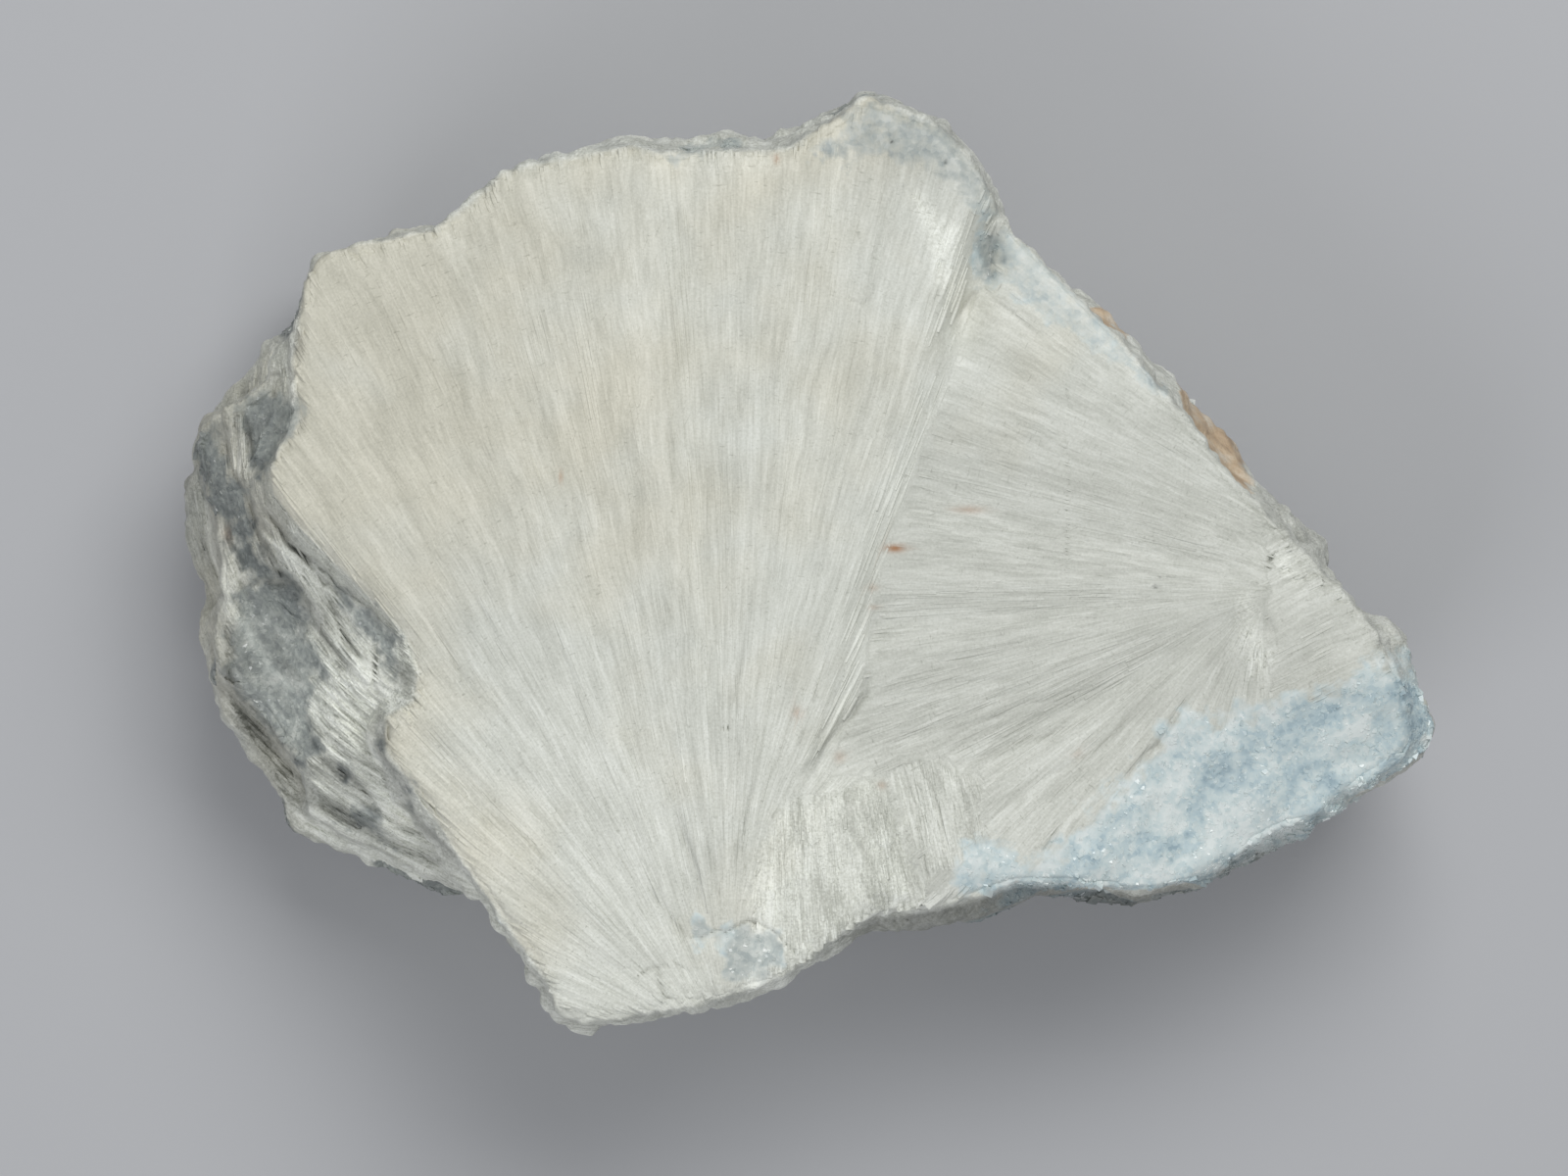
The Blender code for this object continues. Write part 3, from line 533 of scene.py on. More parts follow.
def roughen_block(block, top):
    """Adds broken relief to the walls, and makes what lies hidden under the skin lower and coarser."""
    points, normals = points_of(block), triples(block.data.vertices, "normal")
    x, y, _ = points.T
    covered = fade(top.cover(x, y), 0.5, 0.8) * fade(normals[:, 2], 0.2, 0.45)
    lip = 0.2 * fade(top.cover(x, y), 0.02, 0.3)  # the lip is fuller, to hold the skin's edge
    points = points + normals * ((1 - covered) * (knobbly_relief(points) + lip))[:, None]
    buried = (top.cover(x, y) > 0.98) & (normals[:, 2] > 0.5) & (points[:, 2] > 15)
    points[:, 2] -= UNDERLAY * covered + 1.5 * buried
    points[:, 2] = np.where(points[:, 2] < 0.5, 0.0, points[:, 2])
    set_points(block, points)
    unseen = block.vertex_groups.new(name="unseen")
    hidden = buried | (points[:, 2] == 0)
    unseen.add(np.flatnonzero(hidden).tolist(), 1.0, "REPLACE")
    apply_modifier(block, "TRIANGULATE")
    ratio = 1 - HIDDEN_CUT * hidden.mean()
    apply_modifier(block, "DECIMATE", ratio=ratio, vertex_group=unseen.name, vertex_group_factor=1.0)
    block.vertex_groups.clear()


class TopSurface:
    """The block's upper side as heights over the plan, with the fine relief that belongs on it."""

    def __init__(self, block):
        self.low = BLOCK_LOW[:2] - MAP_MARGIN
        size = np.ceil((BLOCK_HIGH[:2] - self.low + 2 * MAP_MARGIN) / MAP_STEP).astype(int)
        tree = BVHTree.FromPolygons(
            [v.co for v in block.data.vertices], [tuple(p.vertices) for p in block.data.polygons]
        )
        heights = np.zeros(size)
        start, down = BLOCK_HIGH[2] * MM + 0.01, Vector((0, 0, -1))
        for i, j in np.ndindex(*size):
            x, y = (self.low + np.array([i, j]) * MAP_STEP) * MM
            hit = tree.ray_cast(Vector((x, y, start)), down)[0]
            heights[i, j] = hit.z / MM if hit else 0.0
        slope = np.hypot(*np.gradient(heights, MAP_STEP))
        open_top = ((heights > OPEN_ABOVE) & (slope < OPEN_SLOPE)).astype(float)
        self.open_top = blurred(blurred(open_top))
        # the heights run on flat past every lip, so nothing hangs down over it
        known, self.heights = open_top, heights
        for _ in range(LIP_ROUNDS):
            spread = blurred(self.heights * known) / (blurred(known) + 1e-9)
            grown = (blurred(known) > 0.01).astype(float)
            self.heights = np.where(known > 0, self.heights, np.where(grown > 0, spread, heights))
            known = grown
        self.heights = blurred(self.heights)

    def read(self, grid, x, y):
        """The map's numbers at plan places, blended between its four nearest ones."""
        place = (np.stack([x, y], axis=-1) - self.low) / MAP_STEP
        cell = np.clip(np.floor(place).astype(int), 0, np.array(grid.shape) - 2)
        u, v = np.moveaxis(place - cell, -1, 0)
        i, j = np.moveaxis(cell, -1, 0)
        near = grid[i, j] * (1 - v) + grid[i, j + 1] * v
        far = grid[i + 1, j] * (1 - v) + grid[i + 1, j + 1] * v
        return near * (1 - u) + far * u

    def cover(self, x, y):
        """Near 1 well inside the open top, and falling to 0 towards its edge."""
        return self.read(self.open_top, x, y)

    def at(self, x, y):
        return self.read(self.heights, x, y) + top_relief(x, y)


def blurred(grid):
    """A grid with each number made the mean of the 3 x 3 round it."""
    ring = np.pad(grid, 1, mode="edge")
    rows, columns = grid.shape
    return sum(ring[i : i + rows, j : j + columns] for i, j in np.ndindex(3, 3)) / 9


def groove_depth(x, y):
    """How far the creases and cracks sink the top, in mm."""
    plan = on_plan(x, y)
    wx = x + 0.3 * noise(plan, 2.4, 31) + 0.12 * noise(plan, 0.9, 32)
    wy = y + 0.3 * noise(plan, 2.4, 33) + 0.12 * noise(plan, 0.9, 34)
    total = np.zeros_like(x)
    for path, depth, half_width in GROOVES:
        low, high = np.min(path, axis=0) - 3 * half_width, np.max(path, axis=0) + 3 * half_width
        near = (wx > low[0]) & (wx < high[0]) & (wy > low[1]) & (wy < high[1])
        distance, share = nearest_on_path(wx[near], wy[near], path)
        taper = np.sqrt(np.sin(math.pi * np.clip(share, 0.02, 0.98)))
        total[near] += depth * taper * np.exp(-np.abs(distance / half_width) ** 1.5)
    return total


def top_relief(x, y):
    """Fine relief of the top: silky laths on the fans, torn fibres on the ledge and sugary calcite."""
    plan = on_plan(x, y)
    across, along, _ = fibre_field(x, y)
    fibre = on_plan(across, along / 6)
    face_depth = depth_inside(x, y, FACE_OUTLINE)
    on_face = fade(face_depth, -0.4, 0.4)
    calcite = calcite_share(x, y)
    low_part = fade(-y, 10, 35)
    rim = np.exp(-np.clip(face_depth, 0, None) / 1.2)
    silky = rough(fibre, (0.012, 0.6, 3), (0.03, 1.6, 4)) + 0.11 * noise(on_plan(across, along / 5), 4.5, 2)
    silky += (0.02 + 0.04 * low_part) * laths(across, along, 0.9, 6.0, 5) + 0.12 * noise(plan, 7.0, 6)
    silky += rim * (0.3 * laths(across, along, 1.1, 9.0, 18) + 0.25 * noise(plan, 0.9, 19) - 0.2)
    torn = torn_relief(x, y, across, along)
    tuft = 0.22 * laths(across, along, 0.9, 3.0, 12) + 0.10 * noise(fibre, 0.5, 13)
    sugary = rough(plan, (0.035, 0.65, 14), (0.10, 2.0, 15), (0.25, 5.0, 16))
    fibrous = on_face * (silky + tufted_share(x, y) * tuft) + (1 - on_face) * torn
    behind = 0.2 * fade(depth_inside(x, y, TAIL), -0.3, 0.6) * np.exp(-np.clip(x - 58, 0, None) / 4)
    return (1 - calcite) * (fibrous - behind) + calcite * sugary - groove_depth(x, y)


def lay_skin(name, left, right, spacing, top):
    """A fine sheet over one strip of the top, which dips under the block all round its edge."""
    near, far = BLOCK_LOW[1], BLOCK_HIGH[1]
    columns, rows = round((right - left) / spacing), round((far - near) / spacing)
    bpy.ops.mesh.primitive_grid_add(x_subdivisions=columns, y_subdivisions=rows, size=1.0)
    skin = bpy.context.object
    skin.name = name
    unit = points_of(skin) * MM + 0.5
    x, y = left + unit[:, 0] * (right - left), near + unit[:, 1] * (far - near)
    cover = top.cover(x, y)
    dip = 1 - fade(cover, 0.3, 0.6)
    set_points(skin, np.stack([x, y, top.at(x, y) - dip], axis=1))
    bm = bmesh.new()
    bm.from_mesh(skin.data)
    bare = [vert for vert, share in zip(bm.verts, cover) if share < 0.25]
    bmesh.ops.delete(bm, geom=bare, context="VERTS")
    bm.to_mesh(skin.data)
    bm.free()
    return skin


# ---------- blades
def spots_in(inside, count, rng):
    """About `count` plan points, one at random in each cell of a grid, where `inside` says yes."""
    low, high = BLOCK_LOW[:2], BLOCK_HIGH[:2]
    trials = rng.uniform(low, high, (4000, 2))  # these tell how much of the plan is inside
    share = max(inside(*trials.T).mean(), 0.01)
    step = math.sqrt(np.prod(high - low) * share / count)
    gx, gy = np.meshgrid(np.arange(low[0], high[0], step), np.arange(low[1], high[1], step))
    spots = np.stack([gx.ravel(), gy.ravel()], axis=1)
    spots = spots + rng.uniform(0, step, spots.shape)
    return spots[inside(*spots.T)]


def headings(spots, unruly, rng):
    """Unit directions of the fibres at plan spots, each turned at random by about `unruly` degrees."""
    angle = fibre_field(*spots.T)[2] + np.radians(rng.normal(0, unruly, len(spots)))
    return np.stack([np.cos(angle), np.sin(angle)], axis=1)


def stations(spots, heading, shifts):
    """Plan places at the given shifts along each heading."""
    return spots[:, None, :] + heading[:, None, :] * shifts[:, :, None]


def lay_blades(name, zones, count, width, length, stand, seed, top):
    """Slender flat-topped blades lying almost flush along the fibres, joined in one mesh."""
    rng = np.random.default_rng(seed)
    spots = spots_in(lambda x, y: np.isin(zone_of(x, y), zones) & (top.cover(x, y) > 0.8), count, rng)
    count = len(spots)
    zone = zone_of(*spots.T)
    heading = headings(spots, 1.0, rng)
    near_focus = np.clip(fibre_field(*spots.T)[1] / 22, 0.25, 1)  # blades are shorter there
    reach = 0.5 * length * rng.lognormal(0, 0.5, (2, count)) * near_focus
    for _ in range(4):
        for end, sign in enumerate((-1, 1)):
            tip = (spots + heading * (sign * reach[end] * 1.2)[:, None]).T
            outside = (zone_of(*tip) != zone) | (top.cover(*tip) < 0.7)
            reach[end] = np.where(outside, 0.55 * reach[end], reach[end])
    shifts = np.linspace(-reach[0], reach[1], STATIONS, axis=1)
    middle = stations(spots, heading, shifts)
    ground = top.at(*middle.reshape(-1, 2).T).reshape(count, STATIONS)
    level = np.linspace(ground[:, 0], ground[:, -1], STATIONS, axis=1)
    straight = np.abs(ground - level).max(axis=1) < 0.2
    wide = width * rng.lognormal(0, 0.3, count)
    chosen = (middle[straight], ground[straight], heading[straight], wide[straight])
    return blade_mesh(name, *chosen, stand, top, rng)


def lay_rim_blades(name, count, seed, top):
    """Broken blade ends that stick out a little all round the rim of the face."""
    rng = np.random.default_rng(seed)
    corners = np.array(FACE_OUTLINE + FACE_OUTLINE[:1], float)
    runs = np.diff(corners, axis=0)
    lengths = np.hypot(*runs.T)
    pick = rng.choice(len(runs), count, p=lengths / lengths.sum())
    spots = corners[pick] + runs[pick] * rng.random(count)[:, None]
    outward = np.stack([runs[pick, 1], -runs[pick, 0]], axis=1) / lengths[pick, None]
    inner = spots - outward * 1.2
    heading = headings(inner, 3.0, rng)
    lean = (heading * outward).sum(axis=1)
    heading = heading * np.sign(lean)[:, None]
    kept = (np.abs(lean) > 0.45) & (zone_of(*inner.T) != CALCITE) & (top.cover(*inner.T) > 0.8)
    inner, heading = inner[kept], heading[kept]
    count = len(inner)
    beyond = rng.uniform(0.1, 1.2, count) / np.abs(lean[kept])
    shifts = np.linspace(-rng.uniform(1.0, 2.0, count), beyond, STATIONS, axis=1)
    settled = stations(inner, heading, np.minimum(shifts, 0))
    ground = top.at(*settled.reshape(-1, 2).T).reshape(count, STATIONS)
    ground -= np.clip(shifts, 0, None) * rng.uniform(0.1, 0.6, count)[:, None]
    middle, wide = stations(inner, heading, shifts), rng.uniform(0.4, 1.3, count)
    return blade_mesh(name, middle, ground, heading, wide, 0.02, top, rng)


def blade_mesh(name, middle, ground, heading, wide, stand, top, rng):
    """Joined blades: `middle` and `ground` give each one's centre line in plan and its height."""
    count = len(middle)
    side = np.stack([-heading[:, 1], heading[:, 0]], axis=1)
    across, along, _ = fibre_field(*middle.mean(axis=1).T)
    tops = stand * (rng.normal(1, 0.5, count) + rng.normal(0, 0.3, (2, count)))  # the two upper edges
    points = np.empty((count, STATIONS, 4, 3))
    local = np.zeros((count, STATIONS, 4, 3))
    for station in range(STATIONS):
        tip = station in (0, STATIONS - 1)
        slim = rng.uniform(0.7, 1.0, count) if tip else 1.0
        sunk = np.where(rng.random(count) < 0.6, 0.07, 0.0) if tip else 0.0
        shift = ((middle[:, station] - middle.mean(axis=1)) * heading).sum(axis=1)
        for corner, (part, rim) in enumerate(BLADE_SECTION):
            offset = wide * slim * part
            height = ground[:, station] + (-0.15 if rim is None else tops[rim] - sunk)
            points[:, station, corner, :2] = middle[:, station] + side * offset[:, None]
            points[:, station, corner, 2] = height
            local[:, station, corner] = np.stack([across - offset, along + shift, height], axis=1)
    first = np.arange(count)[:, None] * 4 * STATIONS
    last = 4 * STATIONS - 4
    strips = [(k + c, k + c + 1, k + c + 5, k + c + 4) for k in range(0, last, 4) for c in (0, 1, 2)]
    strips += [(k + 3, k, k + 4, k + 7) for k in range(0, last, 4)]
    strips += [(3, 2, 1, 0), (last, last + 1, last + 2, last + 3)]
    faces = np.concatenate([first + np.array(quad) for quad in strips])
    blades = new_object(name, points.reshape(-1, 3), faces)
    note_stone(blades, top)
    set_attribute(blades, "tint", np.repeat(rng.beta(2.5, 2.5, count), 4 * STATIONS))
    set_attribute(blades, "fibre", local.reshape(-1, 3))
    return blades


# ---------- grains
def scatter_grains(name, size, count, seed, sources, top):
    """Small cleavage blocks of calcite, sunk nearly flat into the faces marked in each source."""
    rng = np.random.default_rng(seed)
    found = []
    for obj, marked in sources:
        corners = points_of(obj)[triples(obj.data.polygons, "vertices", int)[marked]]
        cross = np.cross(corners[:, 1] - corners[:, 0], corners[:, 2] - corners[:, 0])
        found.append((corners, cross, np.linalg.norm(cross, axis=1)))
    total = sum(area.sum() for _, _, area in found)
    picked, facing = [], []
    for corners, cross, area in found:
        share = rng.choice(len(area), int(count * area.sum() / total), p=area / area.sum())
        weights = rng.dirichlet((1, 1, 1), len(share))
        picked.append((corners[share] * weights[:, :, None]).sum(axis=1))
        facing.append(cross[share] / area[share, None])
    place, facing = np.concatenate(picked), np.concatenate(facing)
    number = len(place)
    flat = facing + rng.normal(0, 0.18, (number, 3))
    flat /= np.linalg.norm(flat, axis=1)[:, None]
    long = np.cross(flat, rng.normal(size=(number, 3)))
    long /= np.linalg.norm(long, axis=1)[:, None]
    turn = np.stack([long, np.cross(flat, long), flat], axis=2)
    rhomb = np.array([(a + 0.25 * b, b, c) for a in (-0.5, 0.5) for b in (-0.5, 0.5) for c in (-0.5, 0.5)])
    wide = size * rng.lognormal(0, 0.3, number)
    sunk = place - facing * (wide * rng.uniform(0.35, 0.5, number))[:, None]
    points = sunk[:, None, :] + np.einsum("nij,kj->nki", turn, rhomb) * wide[:, None, None]
    sides = np.array([(0, 1, 3, 2), (4, 6, 7, 5), (0, 4, 5, 1), (2, 3, 7, 6), (0, 2, 6, 4), (1, 5, 7, 3)])
    faces = (np.arange(number)[:, None, None] * 8 + sides).reshape(-1, 4)
    grains = new_object(name, points.reshape(-1, 3), faces)
    note_stone(grains, top)
    set_attribute(grains, "tint", np.repeat(rng.uniform(0.6, 1.6, number), 8))
    return grains


def calcite_tone(x, y):
    """How pale the calcite is: clouds, a pale border, the corner's mottles, the ledge's facet and painted
    shade in its hollow.
    """
    plan = on_plan(x, y)
    on_ledge = 1 - fade(x, LEDGE_SIDE - 2, LEDGE_SIDE)
    tone = 0.5 + 0.16 * noise(plan, 2.6, 52) + 0.12 * noise(plan, 1.1, 53)
    mottles = in_patches(x, y, CORNER_PALE, 1.4, 54, 0.7) - in_patches(x, y, CORNER_DARK, 1.4, 56, 0.7)
    corner_depth = depth_inside(x, y, CALCITE_CORNER)
    border = np.where(corner_depth > -5, 0.14 * (1 - fade(corner_depth, 0, 3.5)), 0.1)
    tone += 0.24 * mottles + border * (1 - on_ledge)
    # the grey lumps are paler; painted shade darkens the rim of the ledge's hollow
    tone += 0.08 * in_patches(x, y, GREY_LUMPS, 1.0, 66) - 0.3 * in_patches(x, y, PAINTED_HOLLOW_SHADE, 0.5, 58)
    facet = 0.22 * in_patches(x, y, [LEDGE_FACET], 0.4, 60)
    tone += on_ledge * (facet - 0.15 + 0.14 * fade(y, 10, 16))
    return np.clip(tone, 0, 1)


def calcite_coolness(x, y, z):
    """1 where the calcite is blue, and less on the ledge, lumps, peak and low walls, where it is grey."""
    cool = fade(x, LEDGE_SIDE - 2, LEDGE_SIDE) * fade(z, 20, 40)
    cool *= 1 - 0.8 * fade(y, 42, 48)
    for outlines, greyer in ((GREY_LUMPS, 0.75), (RIGHT_EDGE_CALCITE, 0.45)):
        cool *= 1 - greyer * in_patches(x, y, outlines, 1.0, 67)
    return cool


def painted_shade_and_tone(points, on_top, ledge, tufted, white, torn):
    """Painted light and tone: how bright each spot is beside its mineral's own colour, with painted shade in
    creases, hollows and on the walls.
    """
    x, y, _ = points.T
    wall = 1 - on_top
    # painted shadow on the low wall below the face's near edge
    shadowed_low_wall = fade(-y, 30, 38) * fade(x, 2, 10) * (1 - 0.5 * fade(x, 36, 60))
    changes = {
        # painted shade: creases and cracks are darker the deeper they are
        "creases": -0.35 * np.clip(groove_depth(x, y), 0, 1),
        # the ledge is lighter at its near end and darker further up and at its outer end, partly its grey
        # rock and partly painted shade
        "ledge": ledge * (1 - white) * (0.11 - 0.20 * fade(y, -10, 4) + 0.08 * fade(y, 16, 24)),
        "outer ledge": -0.13 * ledge * fade(-x, 63, 70) * fade(-y, -24, -14),
        # painted shade: the hollows between torn bundles are darker and their ridges lighter
        "torn bundles": 0.4 * ledge * on_top * torn,
        # the tufts are whiter; the face's low part is painted lighter, as if better lit
        "tufts and low part": 0.075 * tufted + 0.055 * fade(-y, 10, 35) * (1 - ledge),
        "second fan": -0.095 * fade(depth_inside(x, y, SECOND_FAN), -1, 1) * (1 - fade(y, 12, 30)),
        # painted shade: the main fan's upper left is a little darker, as if less lit
        "left of the main fan": -0.03 * fade(-x, 25, 45) * fade(y, -20, 0),
        "peak": -0.09 * fade(y, 42, 50) * fade(x, 2, 8),
        # painted shade: the walls are darker than the top, and darker between lighter knobs
        "knobs on the walls": wall * (0.25 * (knobbly_relief(points) - 0.2) - 0.06),
        # painted shadow under the face's near edge
        "low wall": -0.5 * shadowed_low_wall * fade(-depth_inside(x, y, FACE_OUTLINE), 0.1, 1.0),
    }
    shade = np.prod([1 + change for change in changes.values()], axis=0)
    for cx, cy in SPECKS:
        shade *= 1 - 0.85 * np.exp(-(((x - cx) ** 2 + (y - cy) ** 2) / SPECK_RADIUS ** 2))
    return shade + 0.05 * white


def note_stone(obj, top):
    """Stores what the materials read at each point of a piece."""
    points = points_of(obj)
    x, y, z = points.T
    cover = top.cover(x, y)
    across, along, _ = fibre_field(x, y)
    face_depth = depth_inside(x, y, FACE_OUTLINE)
    ledge = fade(-face_depth, 0, 1.5) * (x < LEDGE_SIDE) * (z < 47)
    silky = fade(face_depth, -0.3, 0.5) * fade(z, 40, 43)
    on_top = fade(cover, 0.2, 0.6) * (z > UPPER_SIDE)
    tufted, white = tufted_share(x, y), in_patches(x, y, WHITE_PATCH, 0.4, 59)
    torn = torn_relief(x, y, across, along)
    stain = np.zeros_like(x)
    for cx, cy, rx, ry, strength in STAINS:
        stain += strength * np.exp(-(((x - cx) / rx) ** 2 + ((y - cy) / ry) ** 2))
    noted = {
        "calcite": calcite_at(points, cover),
        "garnet": garnet_at(points),
        "fibre": np.stack([across, along, z], axis=1),
        "tint": 0.5 + 0.3 * noise(np.stack([across, along / 12, z], axis=1), 1.2, 51),
        "tone": calcite_tone(x, y),
        "cool": calcite_coolness(x, y, z),
        "shade": painted_shade_and_tone(points, on_top, ledge, tufted, white, torn),
        "torn": 1 - silky,
        "contrast": 2.7 - 1.2 * silky + 0.35 * fade(-y, 5, 30) + 1.3 * np.maximum(tufted, white),
        "stain": np.clip(stain, 0, 1),
    }
    for name, values in noted.items():
        set_attribute(obj, name, values)


# ---------- materials
def linear(hex_colour, alpha=1.0):
    """An sRGB hex colour as linear numbers."""
    parts = [int(hex_colour[k : k + 2], 16) / 255 for k in (1, 3, 5)]
    return tuple(c / 12.92 if c <= 0.04045 else ((c + 0.055) / 1.055) ** 2.4 for c in parts) + (alpha,)


def add_node(tree, kind, inputs=(), **settings):
    """Adds one shader node with its settings, and its inputs as values or as other nodes' outputs."""
    made = tree.nodes.new("ShaderNode" + kind)
    for name, value in settings.items():
        if name == "stops":
            ramp = made.color_ramp
            while len(ramp.elements) < len(value):
                ramp.elements.new(0.5)
            for element, (position, colour) in zip(ramp.elements, value):
                element.position = position
                element.color = linear(colour)
        else:
            setattr(made, name, value)
    for name, value in dict(inputs).items():
        if isinstance(value, bpy.types.NodeSocket):
            tree.links.new(value, made.inputs[name])
        else:
            made.inputs[name].default_value = value
    return made.outputs


def new_material(name):
    """An empty material, and the function that adds a node to it."""
    material = bpy.data.materials.new(name)
    material.use_nodes = True
    material.node_tree.nodes.clear()
    return material, partial(add_node, material.node_tree)


def streaked_wollastonite(node, where, torn):
    """The colour of wollastonite broken along its fibres, with painted shadows at its broken steps, and the
    height of its single fibres.
    """
    place = node("Attribute", attribute_name="fibre")["Vector"]
    tint, contrast = (node("Attribute", attribute_name=name)["Fac"] for name in ("tint", "contrast"))
    streaks = []
    for wide, long, deep, detail in (
        (0.25, 4.0, 0.8, 3.0),  # single fibres, which keep one shade for about 4 mm
        (0.9, 9.0, 2.0, 2.0),  # thin bundles
        (3.0, 25.0, 5.0, 2.0),  # broad bundles
        (1.0, 0.35, 1.0, 2.0),  # hairline steps across the fibres, where blades broke
    ):
        drawn = node("Mapping", {"Vector": place, "Scale": (1 / wide, 1 / long, 1 / deep)})["Vector"]
        streaks.append(node("TexNoise", {"Vector": drawn, "Scale": 1.0, "Detail": detail})["Fac"])
    fine, thin, broad, step = streaks
    # broken crystal grains 0.3 mm across, dull clouds of 7 mm and wide patches of 20 mm
    grain, dull, patch = (
        node("TexNoise", {"Vector": where, "Scale": 1 / (size * MM), "Detail": detail})["Fac"]
        for size, detail in ((0.3, 2.0), (7.0, 3.0), (20.0, 3.0))
    )
    # few of the steps are deep enough to show, and those get a painted shadow
    step = node("Math", {0: step, 1: 0.64}, operation="SUBTRACT", use_clamp=True)[0]
    mixed = -0.5
    for layer, weight in (
        (fine, 0.24), (thin, 0.2), (broad, 0.18), (grain, 0.21), (dull, 0.14), (tint, 0.04), (step, -1.1),
    ):
        mixed = node("Math", {0: layer, 1: weight, 2: mixed}, operation="MULTIPLY_ADD")[0]
    mixed = node("Math", {0: mixed, 1: contrast, 2: 0.5}, operation="MULTIPLY_ADD")[0]
    shades = [(0.25, "#b4b5ae"), (0.50, "#d2d3cd"), (0.75, "#ecede9")]
    streaked = node("ValToRGB", {"Fac": mixed}, stops=shades)["Color"]
    # the patches are warm ivory towards the far left and whiter towards the near right
    side = node("SeparateXYZ", {"Vector": where})
    cloudy = 0.12
    for layer, weight in ((patch, 1.0), (side["X"], 5.0), (side["Y"], -3.0), (torn, 0.3)):
        cloudy = node("Math", {0: layer, 1: weight, 2: cloudy}, operation="MULTIPLY_ADD")[0]
    cloud = node("ValToRGB", {"Fac": cloudy}, stops=[(0.30, "#f5f1e4"), (0.62, "#f8f9f4")])["Color"]
    blend = {"Fac": 1.0, "Color1": streaked, "Color2": cloud}
    return node("MixRGB", blend, blend_type="MULTIPLY")["Color"], fine


def clouded_calcite(node, where):
    """The colour of granular calcite, blue on top and grey on the ledge, and the height of its grains."""
    tone, tint, cool = (node("Attribute", attribute_name=name)["Fac"] for name in ("tone", "tint", "cool"))
    # grains that are each a little different
    grain = node("TexVoronoi", {"Vector": where, "Scale": 1 / (GRAIN_SIZE * MM)})
    value = node("SeparateColor", {"Color": grain["Color"]})["Red"]
    # cloudy flecks about 1.5 mm across
    fleck = node("TexNoise", {"Vector": where, "Scale": 1 / (1.5 * MM), "Detail": 4.0})["Fac"]
    mixed = -0.54
    for layer, weight in ((tone, 1.0), (value, 0.3), (tint, 0.14), (fleck, 0.7)):
        mixed = node("Math", {0: layer, 1: weight, 2: mixed}, operation="MULTIPLY_ADD")[0]
    blues = [(0.1, "#9aafb7"), (0.35, "#b5c7cb"), (0.6, "#c9d6d5"), (0.9, "#dce3e0")]
    greys = [(0.0, "#6a706e"), (0.35, "#888d8a"), (0.65, "#a2a7a1"), (1.0, "#bfc2bb")]
    blue = node("ValToRGB", {"Fac": mixed}, stops=blues)["Color"]
    grey = node("ValToRGB", {"Fac": mixed}, stops=greys)["Color"]
    return node("MixRGB", {"Fac": cool, "Color1": grey, "Color2": blue})["Color"], grain["Distance"]


def broken_skarn():
    """Broken skarn: silky ivory wollastonite fibres that pass into sugary calcite and dull garnet rock."""
    material, node = new_material("broken_wollastonite_skarn")
    where = node("TexCoord")["Object"]
    noted = ("torn", "shade", "stain")
    torn, shade, stain = (node("Attribute", attribute_name=name)["Fac"] for name in noted)
    colour, fine = streaked_wollastonite(node, where, torn)
    grains, bulge = clouded_calcite(node, where)
    # garnet rock in clouds about 3 mm across
    clouds = node("TexNoise", {"Vector": where, "Scale": 1 / (3 * MM), "Detail": 5.0})["Fac"]
    tans = [(0.35, "#b29a7e"), (0.5, "#c8b396"), (0.66, "#d8ccb8")]
    tan = node("ValToRGB", {"Fac": clouds}, stops=tans)["Color"]
    # the border between two minerals is uneven by about 1 mm
    uneven = node("TexNoise", {"Vector": where, "Scale": 1 / (1 * MM), "Detail": 4.0})["Fac"]
    for mineral, name in ((grains, "calcite"), (tan, "garnet")):
        share = node("Attribute", attribute_name=name)["Fac"]
        share = node("Math", {0: uneven, 1: 0.9, 2: share}, operation="MULTIPLY_ADD")[0]
        share = node("Math", {0: share, 1: 1.8, 2: -1.2}, operation="MULTIPLY_ADD", use_clamp=True)[0]
        colour = node("MixRGB", {"Fac": share, "Color1": colour, "Color2": mineral})["Color"]
    # painted shade and tone: the shade attribute darkens the colour in creases, hollows and on the walls
    colour = node("MixRGB", {"Fac": 1.0, "Color1": colour, "Color2": shade}, blend_type="MULTIPLY")["Color"]
    # iron rust soaks into whatever it lies on
    rust = linear("#c98a58")
    rusty = node("MixRGB", {"Fac": 1.0, "Color1": colour, "Color2": rust}, blend_type="MULTIPLY")["Color"]
    colour = node("MixRGB", {"Fac": stain, "Color1": colour, "Color2": rusty})["Color"]
    # grit about 0.5 mm across where the rock is torn
    grit = node("TexNoise", {"Vector": where, "Scale": 1 / (0.5 * MM), "Detail": 4.0})["Fac"]
    grit = node("Math", {0: grit, 1: torn}, operation="MULTIPLY")[0]
    surface = {}
    for height, strength, depth in ((fine, 0.5, 0.06), (bulge, 0.2, 0.1), (grit, 0.7, 0.4)):
        bump = {"Height": height, "Strength": strength, "Distance": depth * MM, **surface}
        surface = {"Normal": node("Bump", bump)["Normal"]}
    shader = node("BsdfPrincipled", {"Base Color": colour, "Roughness": 0.48, **surface})["BSDF"]
    node("OutputMaterial", {"Surface": shader})
    return material


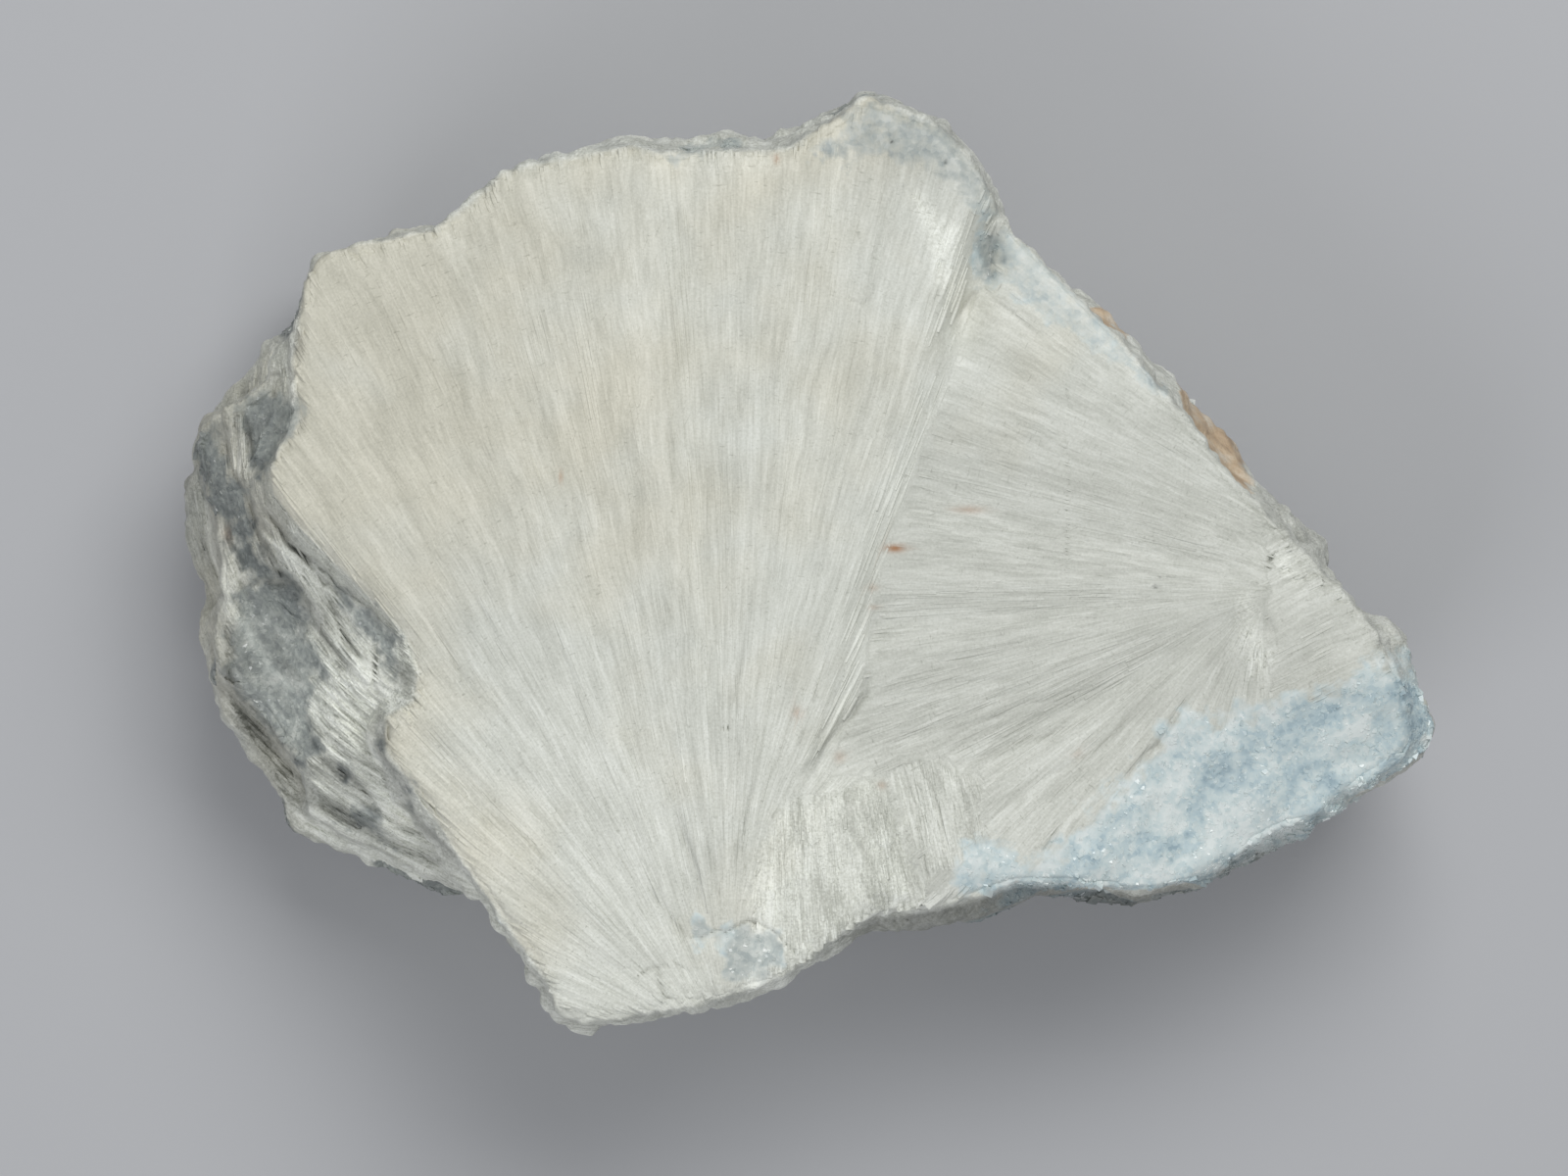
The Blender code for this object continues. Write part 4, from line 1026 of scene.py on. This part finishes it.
def calcite_crystals():
    """Loose cleavage grains of calcite: glassy and clean, so single ones glint."""
    material, node = new_material("cleaved_calcite_grains")
    colour, _ = clouded_calcite(node, node("TexCoord")["Object"])
    shade = node("Attribute", attribute_name="shade")["Fac"]
    # painted shade and tone from the shade attribute darken the grains' colour
    colour = node("MixRGB", {"Fac": 1.0, "Color1": colour, "Color2": shade}, blend_type="MULTIPLY")["Color"]
    shader = node("BsdfPrincipled", {"Base Color": colour, "Roughness": 0.25, "IOR": 1.6})["BSDF"]
    node("OutputMaterial", {"Surface": shader})
    return material


def matt_board():
    """Plain matt board under the specimen, which keeps only a soft shadow."""
    material, node = new_material("matt_grey_board")
    shader = node("BsdfPrincipled", {"Base Color": linear("#b4b5b7"), "Roughness": 0.9})["BSDF"]
    node("OutputMaterial", {"Surface": shader})
    return material


# ---------- the stage, in metres
LIGHT_AIM = (0.0, 0.0, 0.04)
CAMERA_PLACE = (-0.0031, -0.0035, 1.17)
FLOOR_SIZE = 3.0


def add_floor():
    bpy.ops.mesh.primitive_plane_add(size=FLOOR_SIZE, location=(0, 0, 0))
    floor = bpy.context.object
    floor.name = "floor"
    floor.data.materials.append(matt_board())


def add_softbox(name, place, size, power, colour):
    """A soft rectangular light that faces the specimen."""
    data = bpy.data.lights.new(name, "AREA")
    data.shape = "RECTANGLE"
    data.size, data.size_y = size
    data.energy = power
    data.color = linear(colour)[:3]
    light = bpy.data.objects.new(name, data)
    light.location = place
    light.rotation_euler = (Vector(LIGHT_AIM) - Vector(place)).to_track_quat("-Z", "Y").to_euler()
    bpy.context.scene.collection.objects.link(light)


def add_lights():
    """A softbox on the far right, a weaker one on the near left and a dim room."""
    add_softbox("key", (0.2, 0.5, 0.8), (0.6, 0.5), 5.6, "#ffffff")
    add_softbox("fill", (-0.4, -0.65, 0.7), (0.6, 0.6), 3.0, "#fbfbff")
    world = bpy.data.worlds.new("studio")
    world.use_nodes = True
    room = world.node_tree.nodes["Background"].inputs
    room["Color"].default_value = linear("#e3e6ea")
    room["Strength"].default_value = 0.42
    bpy.context.scene.world = world


def add_camera():
    """Looks straight down on the face through a long lens."""
    data = bpy.data.cameras.new("camera")
    data.lens = 200
    data.sensor_width = 36
    camera = bpy.data.objects.new("camera", data)
    camera.location = CAMERA_PLACE
    bpy.context.scene.collection.objects.link(camera)
    bpy.context.scene.camera = camera


# ---------- main
def mount(obj, material):
    """Gives a piece its material, the body it rides on and the slot of its finish."""
    obj.data.materials.append(material)
    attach(obj, BODY)


def bare_calcite(obj, top):
    """Says for each face whether calcite shows there and is open to the air."""
    centres = triples(obj.data.polygons, "center") / MM
    cover = top.cover(*centres[:, :2].T)
    shows = (calcite_at(centres, cover) > 0.7) & (garnet_at(centres) < 0.3) & (centres[:, 2] > 1)
    if obj.name == "fibrous_block":  # its upper side lies under the skins
        shows &= (cover <= 0.6) | (centres[:, 2] <= UPPER_SIDE)
    return shows


def main():
    rock, crystals = broken_skarn(), calcite_crystals()
    block = refined_block()
    top = TopSurface(block)
    roughen_block(block, top)
    skins = [lay_skin(f"top_skin_{number}", *strip, top) for number, strip in enumerate(SKIN_STRIPS, 1)]
    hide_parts(NODE)
    calcite = []
    for obj in [block] + skins:
        apply_modifier(obj, "TRIANGULATE")
        note_stone(obj, top)
        mount(obj, rock)
        obj.data.polygons.foreach_set("use_smooth", np.full(len(obj.data.polygons), True))
        calcite.append((obj, bare_calcite(obj, top)))
    mount(scatter_grains(*CORNER_GRAINS, calcite[1:], top), crystals)
    mount(scatter_grains(*WALL_GRAINS, calcite[:1], top), crystals)
    for settings in BLADES:
        mount(lay_blades(*settings, top), rock)
    mount(lay_rim_blades(*RIM_BLADES, top), rock)


bpy.context.scene.view_settings.view_transform = "Standard"
add_camera()
add_lights()
add_floor()
main()
